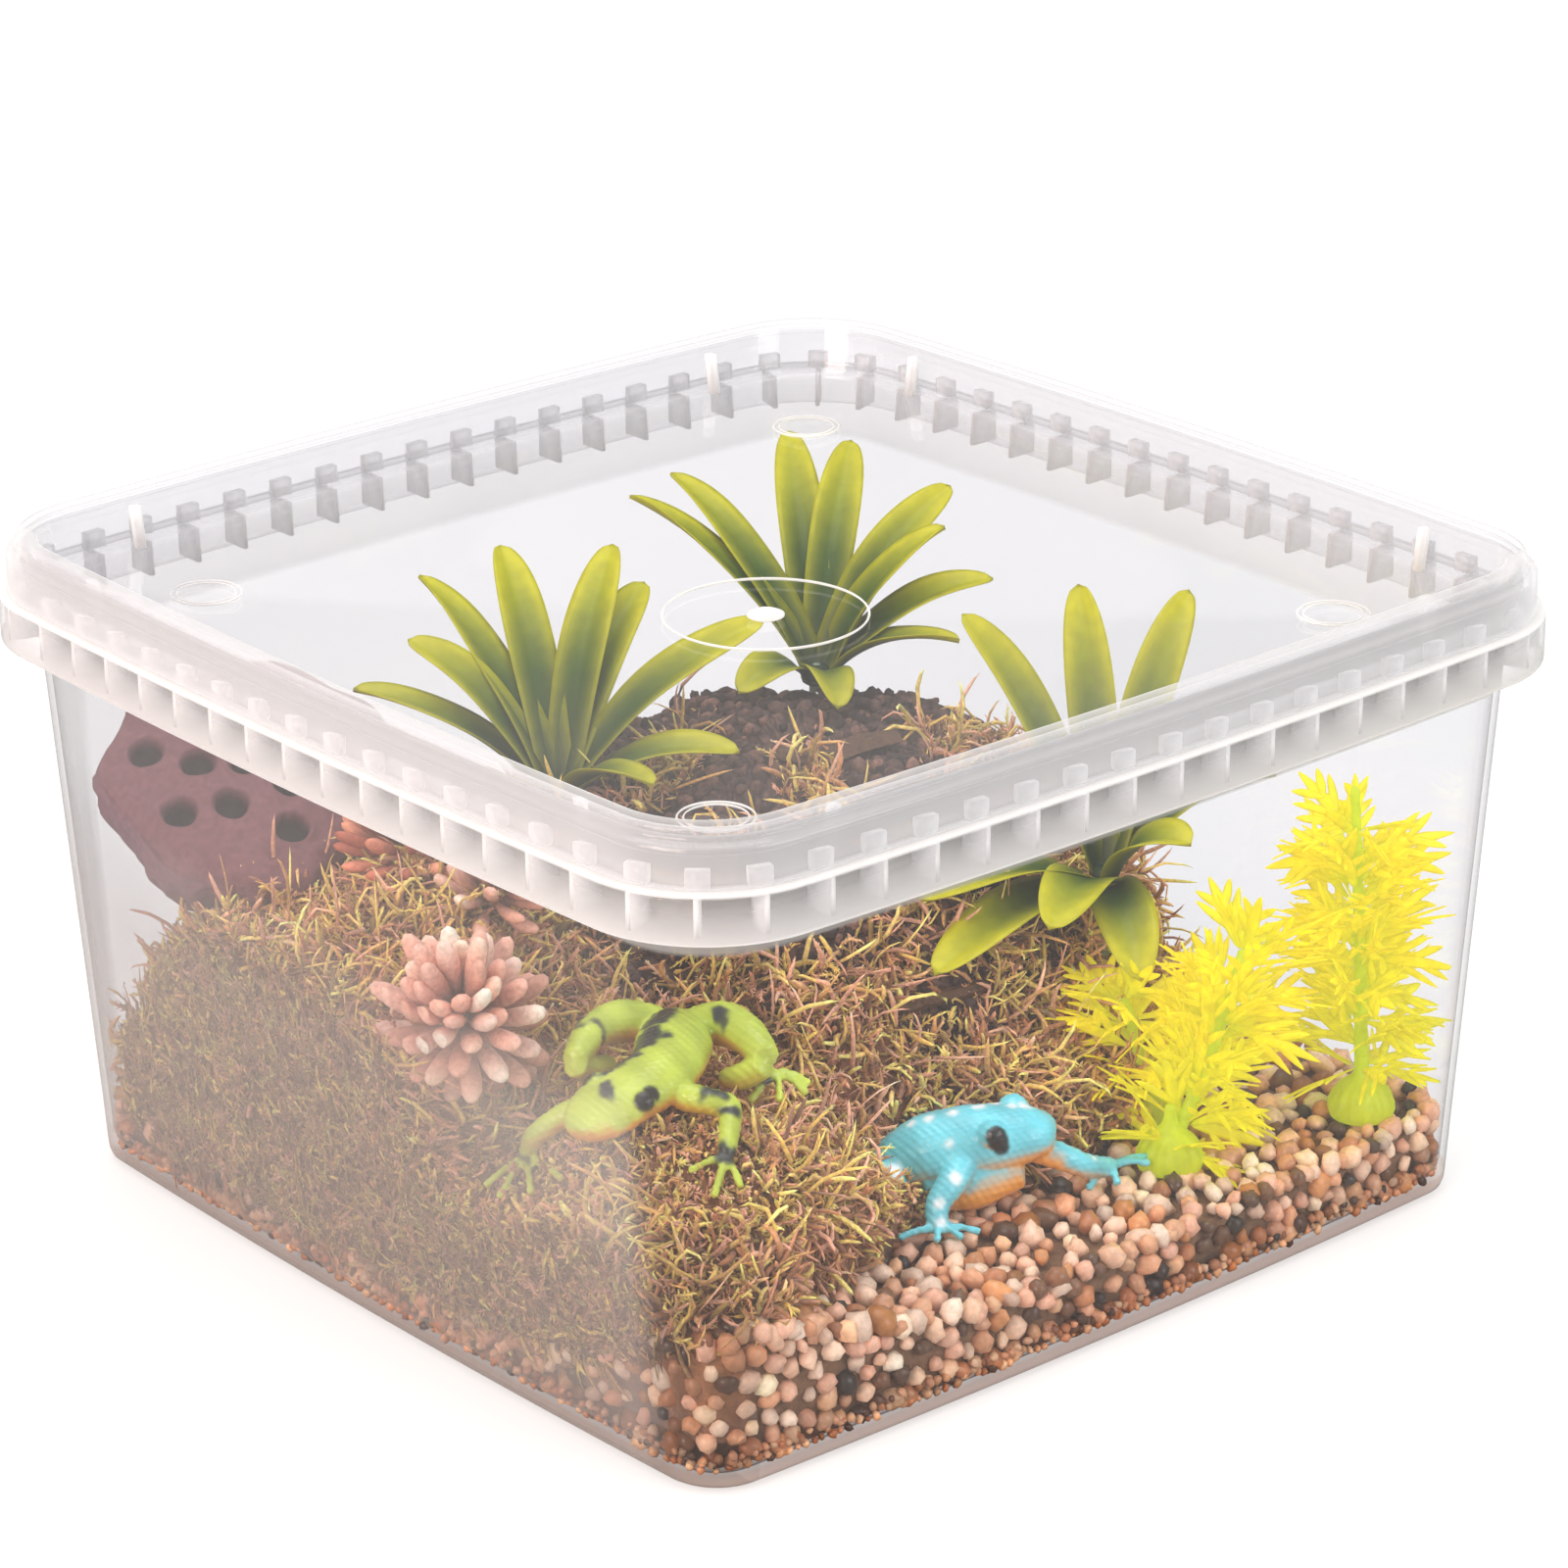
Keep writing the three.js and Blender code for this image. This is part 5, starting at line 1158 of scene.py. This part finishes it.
def strap_leaf(start, reach, width, seed):
    """A strap leaf on a grid of two sides: a quadratic curve from crown to tip, width by a smooth
    swell, a shallow V across, a slight twist; the underside is the same grid moved in. It is dark at
    the crown and pale along its edges and tip, with faint veins."""
    local = np.random.default_rng(seed)
    flat = np.array([reach[0], reach[1], 0]) / np.hypot(reach[0], reach[1])
    bend = reach / 2 + np.array([0, 0, 7.0]) - flat * 3.5
    u = np.linspace(0, 1, 36)[:, None]
    centre = start + 2 * u * (1 - u) * bend + u * u * reach
    along = unit(np.gradient(centre, axis=0))
    lean = along.mean(0)
    across = unit(np.cross(along, np.array([0, 0, 1.0]) * abs(flat @ lean) - flat * lean[2]))
    out = np.cross(across, along)
    twist = local.uniform(-0.5, 0.5) * u
    across, out = across * np.cos(twist) + out * np.sin(twist), out * np.cos(twist) - across * np.sin(twist)
    half = width / 2 * (0.62 + 0.38 * np.sin(np.pi * np.clip(u * 0.8 + 0.05, 0, 1))) \
        * np.sqrt(np.clip(1 - u ** 7, 0, 1))
    v = np.linspace(-1, 1, 9)[None, :]
    lift = np.abs(v) * 0.32 * half + 0.25 * np.sin(u * 9 + local.uniform(0, 6)) * v ** 2
    top = centre[:, None] + across[:, None] * (half * v)[..., None] + out[:, None] * lift[..., None]
    under = top - out[:, None] * (LEAF_THICK * (1 - v ** 4 * 0.7))[..., None]
    ring = np.concatenate([top, under[:, ::-1]], 1)
    verts = np.concatenate([ring[0].mean(0)[None], ring.reshape(-1, 3), ring[-1].mean(0)[None]])
    tipward = np.clip((u - 0.4) / 0.55, 0, 1) ** 1.2
    blend = np.clip(tipward * 0.9 + np.abs(v) ** 2.5 * (0.4 + 0.7 * u), 0, 1)[..., None]
    outward = np.clip(u * 1.4, 0, 1)[..., None]
    tone = (LEAF_DARK * (1 - outward) + LEAF_MID * outward) * (1 - blend) \
        + (LEAF_EDGE * 0.55 + LEAF_TIP * 0.45) * blend
    tone = tone * (1 + 0.05 * np.cos(v * 22)[..., None])
    # Painted shade: the underside is a fifth darker than the top
    tone = np.concatenate([tone, tone[:, ::-1] * 0.8], 1).reshape(-1, 3)
    return verts, capped(len(u), ring.shape[1]), np.concatenate([tone[:1], tone, tone[-1:]])


for plant, (crown, lower, upper) in PLANTS.items():
    for row, leaves, up in (("lower", lower, 0.0), ("upper", upper, UPPER_LEAVES_UP)):
        hub = dome(*crown[:2], crown[2] + up, 2.6, 1.0, 6, 20)
        parts = []
        tones = []
        for i, shares in enumerate(leaves):
            flat = np.array([*shares[:2], 0]) / math.hypot(*shares[:2])
            start = np.array(crown) + flat * 1.6 + np.array([0, 0, up])
            width = BROAD_LEAF_WIDTH if (plant, row) == ("plant_right", "lower") else LEAF_WIDTH
            seed = len(plant) * 50 + i * 7 + int(up * 10)
            *blade, tone = strap_leaf(start, np.array(shares) * LEAF_SPAN, width, seed)
            parts.append(blade)
            tones.append(tone)
        tones.append(np.tile(LEAF_DARK, (len(hub[0]), 1)))
        make(f"{plant}_{row}_blades", *joined(parts + [hub]), leaf_plastic, f"{plant}_leaves_{row}",
             np.concatenate(tones), "leaf")


# Feathery water plants: foot, reach of the stem in mm, whorls, and how far the whorls spread along it
WEEDS = {
    "weed_front": ((30, -66, 15), (19, 2, 32), 3, 0.58),
    "weed_back": ((68, -73, 15), (1, 5, 58), 4, 0.5),
    "weed_low": ((39.5, -53, 14.4), (-4.2, 4.2, 22), 1, 0),
}
FIRST_WHORL_SHARE, ONLY_WHORL_SHARE = 0.24, 0.75
WHORL_ROWS = ((-1.2, 15.5), (-0.4, 15.5), (0.4, 14.5), (1.2, 13))
ROW_GAP, BLADES_IN_ROW = 5.2, 7
BLADE_WIDTH, FORK_WIDTH = 2.3, 1.55
WEED = palette(["fff40c", "faec10", "fff61c", "f4ea1c"])
WEED_STEM_GREEN_AND_SHADE = palette(["cfe02a"])[0]


def weed_blades(first, way, face, length, width):
    """Flat blades: each follows its way and droops by a parabola, widest in the middle, pointed at
    both ends."""
    t = np.array([0, 0.06, 0.22, 0.45, 0.7, 0.88, 0.97, 1])[None, :, None]
    length = length[:, :, None]
    paths = first[:, None] + way[:, None] * t * length - np.array([0, 0, 0.1]) * t ** 2 * length
    shape = np.array([0, 0.45, 0.8, 1, 0.85, 0.5, 0.2, 0]) * width
    return tubes(paths, shape, np.maximum(shape * 0.22, 0.3 * (shape > 0)), face, 6)[:2]


def weed_whorl(at, way, start, count, length, seed):
    """Blades round a stem: each rises outward, and forks twice, in pairs and in its own plane."""
    local = np.random.default_rng(seed)
    way = unit(way)
    side = unit(np.cross(way, [0, 1.0, 0]))
    turn = start + 2 * np.pi * (np.arange(count) + local.uniform(-0.25, 0.25, count)) / count
    out = np.cos(turn)[:, None] * side + np.sin(turn)[:, None] * np.cross(way, side)
    lift = unit(out + way * local.uniform(-0.2, 1.25, (count, 1)))
    plane = np.cross(way, lift) + 0.5 * local.standard_normal((count, 3))
    plane = unit(plane - lift * (plane * lift).sum(1, keepdims=True))
    face = np.cross(plane, lift)
    root = at + out * 1.2
    long = length * local.uniform(0.85, 1.12, (count, 1))
    sets = [weed_blades(root, lift, face, long, BLADE_WIDTH)]
    for share, reach in ((0.22, 0.58), (0.48, 0.42)):
        for sign in (-1, 1):
            angle = sign * local.uniform(0.4, 0.75, (count, 1))
            turned = lift * np.cos(angle) + plane * np.sin(angle)
            sets.append(weed_blades(root + lift * long * share, turned, face, long * reach, FORK_WIDTH))
    return joined(sets)


def weed_foot(at, radius, height, ribs):
    """The soft weighted foot: a bell profile turned round, its radius waved into ribs."""
    profile = drawn_out(np.array([[0.8, 0], [0.95, 0.05], [1, 0.2], [0.97, 0.4], [0.86, 0.6], [0.68, 0.78],
                                  [0.46, 0.9], [0.3, 1.02], [0.2, 1.2], [0.16, 1.5]]), 40)
    w, rise = profile[:, :1], profile[:, 1:]
    turn = round_turn(120)
    r = radius * w * (1 + 0.035 * np.cos(ribs * turn) * np.sin(np.pi * rise.clip(0, 1)))
    x, y = at[0] + r * np.cos(turn), at[1] + r * np.sin(turn)
    rings = np.stack([x, y, at[2] + height * rise * np.ones_like(turn)], -1)
    top = [at[0], at[1], at[2] + height * 1.52]
    return np.concatenate([[at], rings.reshape(-1, 3), [top]]), capped(len(profile), len(turn))


def weed_stem(at, reach, width):
    """The stem: a slightly bent round bar from foot to tip, with a swelling at every leaf node."""
    t = np.linspace(0, 1, 60)
    path = at + t[:, None] * reach * 0.95 + np.sin(np.pi * t)[:, None] * np.cross(reach, [0, 0, 1.0]) * 0.05
    shape = width * (1 - 0.35 * t) * (1 + 0.3 * np.maximum(0, np.cos(t * 2 * np.pi * 11)) ** 6)
    shape[[0, -1]] = 0
    return tubes(path[None], shape[None], shape[None], np.array([0.3, 1.0, 0.1]), 14)[:2]


for weed, (at, reach, whorls, spread) in WEEDS.items():
    at = np.array(at, float)
    reach = np.array(reach, float)
    gap = ROW_GAP / np.linalg.norm(reach)
    for i in range(whorls):
        share = FIRST_WHORL_SHARE + spread * i / (whorls - 1) if whorls > 1 else ONLY_WHORL_SHARE
        whorl = []
        for row, long in WHORL_ROWS:
            place = at + reach * (share + row * gap)
            seed = 400 + i * 5 + int(row * 10)
            whorl.append(weed_whorl(place, reach, i * 0.45 + row * 2.1, BLADES_IN_ROW, long, seed))
        verts, faces = joined(whorl)
        near = np.linalg.norm(np.cross(verts - at, reach), axis=1) / np.linalg.norm(reach)
        # Painted shade: blades turn to the greener stem colour towards the stem, inside the whorl, and on the
        # lower whorls
        inner = np.maximum(np.clip(1 - near / 9, 0, 1)[:, None] * 0.55, 0.4 * (1 - share) ** 1.5)
        tone = mixed(WEED, len(verts), 50 + i, 0.03) * (1 - inner) + WEED_STEM_GREEN_AND_SHADE * inner
        make(f"{weed}_needles_{i + 1}", held(verts, 0.4), faces, weed_plastic, f"{weed}_whorl_{i + 1}",
             tone, "weed", 0.01)
    verts, faces = joined([weed_stem(at + [0, 0, 2], reach, 2.4), weed_foot(at + [0, 0, -1], 5.6, 7.4, 14)])
    make(f"{weed}_foot_and_stem", held(verts, 0.4), faces, weed_plastic, f"{weed}_stem",
         np.tile(WEED_STEM_GREEN_AND_SHADE * [1.1, 1.05, 1.2], (len(verts), 1)), "weed", 0.01)


# Frogs
FUSE_CELL = 0.36
PUPIL_BLACK = 0.012


def bar(points, widths, depths=None, sides=16):
    """A smooth limb through points, in mm: the points are joined, rounded off by averaging, and its
    width and depth run evenly between the given ones."""
    points = np.array(points, float)
    t = np.linspace(0, 1, len(points))
    fine = np.linspace(0, 1, len(points) * 5)
    path = np.stack([np.interp(fine, t, points[:, a]) for a in range(3)], -1)
    for _ in range(5):
        path[1:-1] = (path[:-2] + 2 * path[1:-1] + path[2:]) / 4
    wide = np.interp(fine, t, widths)
    deep = wide if depths is None else np.interp(fine, t, depths)
    return tubes(path[None], wide[None], deep[None], np.array([0.001, 0.002, 1.0]), sides)[:2]


def frog_parts(plan):
    """Back, limbs, toes and eye bumps of a frog from its table of points and widths in mm."""
    parts = [bar(plan["spine"], plan["wide"], plan["deep"], 28)]
    parts += [bar(points, widths) for points, widths in plan["limbs"]]
    for wrist, tips in plan["hands"]:
        wrist = np.array(wrist, float)
        for tip in tips:
            toe = np.array(tip, float) - wrist
            line = [wrist, wrist + toe * 0.5 + [0, 0, 0.7], wrist + toe * 0.85 + [0, 0, 0.2], tip]
            parts.append(bar(line, [1.9, 1.2, 1.35, 1.5], None, 10))
    parts += [dome(*eye, size, size * 0.9, 10, 20) for eye, size in plan["eyes"]]
    return joined(parts)


def fused(name, verts, faces, cell):
    """One smooth skin over overlapping parts, by Blender's voxel remesh and smoothing, as arrays."""
    mesh = bpy.data.meshes.new(name)
    mesh.from_pydata((verts * MM).tolist(), [], faces.tolist())
    lump = bpy.data.objects.new(name, mesh)
    bpy.context.scene.collection.objects.link(lump)
    wrap = lump.modifiers.new("wrap", "REMESH")
    wrap.mode = "VOXEL"
    wrap.voxel_size = cell * MM
    soft = lump.modifiers.new("soft", "SMOOTH")
    soft.factor = 0.6
    soft.iterations = 4
    done = lump.evaluated_get(bpy.context.evaluated_depsgraph_get()).to_mesh()
    done.calc_loop_triangles()
    points = np.empty(len(done.vertices) * 3)
    done.vertices.foreach_get("co", points)
    tris = np.empty(len(done.loop_triangles) * 3, np.int32)
    done.loop_triangles.foreach_get("vertices", tris)
    bpy.data.objects.remove(lump)
    return points.reshape(-1, 3) / MM, tris.reshape(-1, 3)


def step_down(away, soft):
    """1 below zero and 0 above, by a smooth step."""
    return 1 / (1 + np.exp(away / soft))


def spot_share(points, spots, soft):
    """From 0 to 1, how far each point is inside any of the spots, each a middle and a radius in mm."""
    share = np.zeros(len(points))
    for *middle, radius in spots:
        share = np.maximum(share, step_down(np.linalg.norm(points - np.array(middle), axis=1) - radius, soft))
    return share[:, None]


def vertex_normals(points, faces):
    """Unit normals: the sum of the normals of the triangles round each point."""
    a, b, c = (points[faces[:, i]] for i in range(3))
    flat = np.cross(b - a, c - a)
    total = np.zeros_like(points)
    for i in range(3):
        np.add.at(total, faces[:, i], flat)
    return unit(total, 1e-12)


def painted(tone, colour, share):
    """A colour laid over a tone by a share."""
    return tone * (1 - share) + colour * share


for frog, plan in FROGS.items():
    verts, faces = fused(frog + "_lump", *frog_parts(plan), FUSE_CELL)
    normals = vertex_normals(verts, faces)
    crease = np.sin(verts @ np.array([3.1, 2.0, 4.4])) * np.sin(verts @ np.array([-1.6, 2.7, 1.3]))
    verts = verts + normals * (0.1 * crease)[:, None]
    skin, belly, hole_shade = palette(plan["colours"])
    trunk = np.min(np.linalg.norm(verts[:, None] - np.array(plan["spine"])[None], axis=2), axis=1)
    under = 1 / (1 + np.exp((normals[:, 2] - plan["belly_below"]) * 9))
    under = (under * np.clip(1.5 - trunk / 12, 0.1, 1))[:, None]
    wander = np.sin(verts[:, [1, 2, 0]] * 0.9) * 0.55 + np.sin(verts[:, [2, 0, 1]] * 2.1) * 0.25
    tone = painted(skin * (1 + 0.1 * np.sin(verts[:, :1] * 0.9)), belly, under)
    tone = painted(tone, hole_shade, spot_share(verts + wander * plan["ragged"], plan["spots"], 0.2))
    tone = painted(tone, belly, spot_share(verts, plan["chest"], 0.3) * np.clip(0.75 - normals[:, 2:], 0, 1))
    tone = painted(tone, PUPIL_BLACK, spot_share(verts, plan["pupils"], 0.1))
    make(f"{frog}_figure", held(verts), faces, frog_paint, frog, tone, plan["slot"])

# Twigs, the chip of bark and the stalks keep their solids' shape
for name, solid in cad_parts.items():
    if name in ("twig_front", "twig_left", "bark_chip") or name.endswith("_stalk"):
        solid.data.materials.clear()
        solid.data.materials.append(stalk_plastic if name.endswith("_stalk") else twig_bark)


# Floor, room and lamps, in metres
FLOOR_REACH = 8
FLOOR_GAP = 0.0002


def paper_material():
    """White paper: matt, it keeps the shadow, and towards the camera it gives light of its own, more
    from 0.8 to 2 m out, so that it meets the white room."""
    material, tree = empty_material("white_paper_sweep")
    rays = node(tree, "LightPath", (-700, 200))
    pale = node(tree, "MapRange", (-500, 0), {"To Min": 0.44, "To Max": 0.3},
                {"Value": rays.outputs["Is Glossy Ray"]})
    matt = node(tree, "BsdfDiffuse", (-300, 0), {}, {"Color": pale})
    place = node(tree, "TexCoord", (-1100, 400))
    away = node(tree, "VectorMath", (-900, 400), {"operation": "LENGTH"}, {0: place.outputs["Object"]})
    white = node(tree, "MapRange", (-700, 400),
                 {"From Min": 0.8, "From Max": 2.0, "To Min": 0.5, "To Max": 0.65},
                 {"Value": away.outputs["Value"]})
    lift = node(tree, "Math", (-500, 200), {"operation": "MULTIPLY"},
                {0: rays.outputs["Is Camera Ray"], 1: white})
    glow = node(tree, "Emission", (-300, 200), {"Color": (1, 1, 1, 1)}, {"Strength": lift})
    both = node(tree, "AddShader", (-50, 0), {}, {0: matt, 1: glow})
    node(tree, "OutputMaterial", (300, 0), {}, {"Surface": both})
    return material


def white_room():
    """The room: white to the camera and through the plastic, a little darker as light, and much darker
    in mirrors, so that the gleams stay thin."""
    world = bpy.data.worlds.new("white_room")
    bpy.context.scene.world = world
    world.use_nodes = True
    tree = world.node_tree
    tree.nodes.clear()
    rays = node(tree, "LightPath", (-700, 0))
    seen = node(tree, "Math", (-500, 0), {"operation": "MAXIMUM"},
                {0: rays.outputs["Is Camera Ray"], 1: rays.outputs["Is Transmission Ray"]})
    level = node(tree, "MapRange", (-300, 0), {"To Min": 0.85, "To Max": 1.0}, {"Value": seen})
    mirror = node(tree, "Math", (-300, -200), {"operation": "MULTIPLY", 1: -0.6},
                  {0: rays.outputs["Is Glossy Ray"]})
    total = node(tree, "Math", (-100, 0), {"operation": "ADD"}, {0: level, 1: mirror})
    sky = node(tree, "Background", (100, 0), {"Color": (1, 1, 1, 1)}, {"Strength": total})
    node(tree, "OutputWorld", (300, 0), {}, {"Surface": sky})


def lamp(name, place, size, power, colour):
    """A soft square area lamp aimed at the middle of the tub."""
    data = bpy.data.lights.new(name, "AREA")
    data.color = linear(colour)[:3]
    data.size = size
    data.energy = power
    obj = bpy.data.objects.new(name, data)
    obj.location = place
    obj.rotation_euler = (Vector((0, 0, 0.05)) - Vector(place)).to_track_quat("-Z", "Y").to_euler()
    bpy.context.scene.collection.objects.link(obj)


floor_mesh = bpy.data.meshes.new("floor")
floor_corners = [(x * FLOOR_REACH, y * FLOOR_REACH, 0) for x, y in ((-1, -1), (1, -1), (1, 1), (-1, 1))]
floor_mesh.from_pydata(floor_corners, [], [(0, 1, 2, 3)])
floor_mesh.materials.append(paper_material())
floor = bpy.data.objects.new("floor", floor_mesh)
floor.location = (0, 0, -FLOOR_GAP)
bpy.context.scene.collection.objects.link(floor)
white_room()
lamp("left_softbox", (-1.3, -0.3, 0.7), 0.8, 21, "ffe8dc")
lamp("front_softbox", (0.5, -1.4, 0.8), 0.9, 11, "fffdfa")
lamp("top_softbox", (0.1, 0.2, 1.6), 1.2, 13, "ffffff")

# The lens and place come from the tub's outline in the picture, 1600 pixels square
PICTURE_SIDE, FOCAL_PIXELS = 1600, 5594.5
SENSOR = 36
AZIMUTH, ELEVATION, ROLL = math.radians(-40.47), math.radians(21.91), math.radians(-0.51)
TARGET = Vector((2.10, -1.79, 70.2)) * MM
DISTANCE = 910.2 * MM
level = math.cos(ELEVATION)
back = Vector((math.sin(AZIMUTH) * level, -math.cos(AZIMUTH) * level, math.sin(ELEVATION)))
camera_data = bpy.data.cameras.new("photo_camera")
camera_data.lens = FOCAL_PIXELS / PICTURE_SIDE * SENSOR
camera_data.sensor_width = SENSOR
camera_data.clip_start = 0.01
camera = bpy.data.objects.new("photo_camera", camera_data)
camera.location = TARGET + back * DISTANCE
camera.rotation_euler = (Quaternion(back, ROLL) @ (-back).to_track_quat("-Z", "Y")).to_euler()
bpy.context.scene.collection.objects.link(camera)
bpy.context.scene.camera = camera
bpy.context.scene.view_settings.view_transform = "Standard"
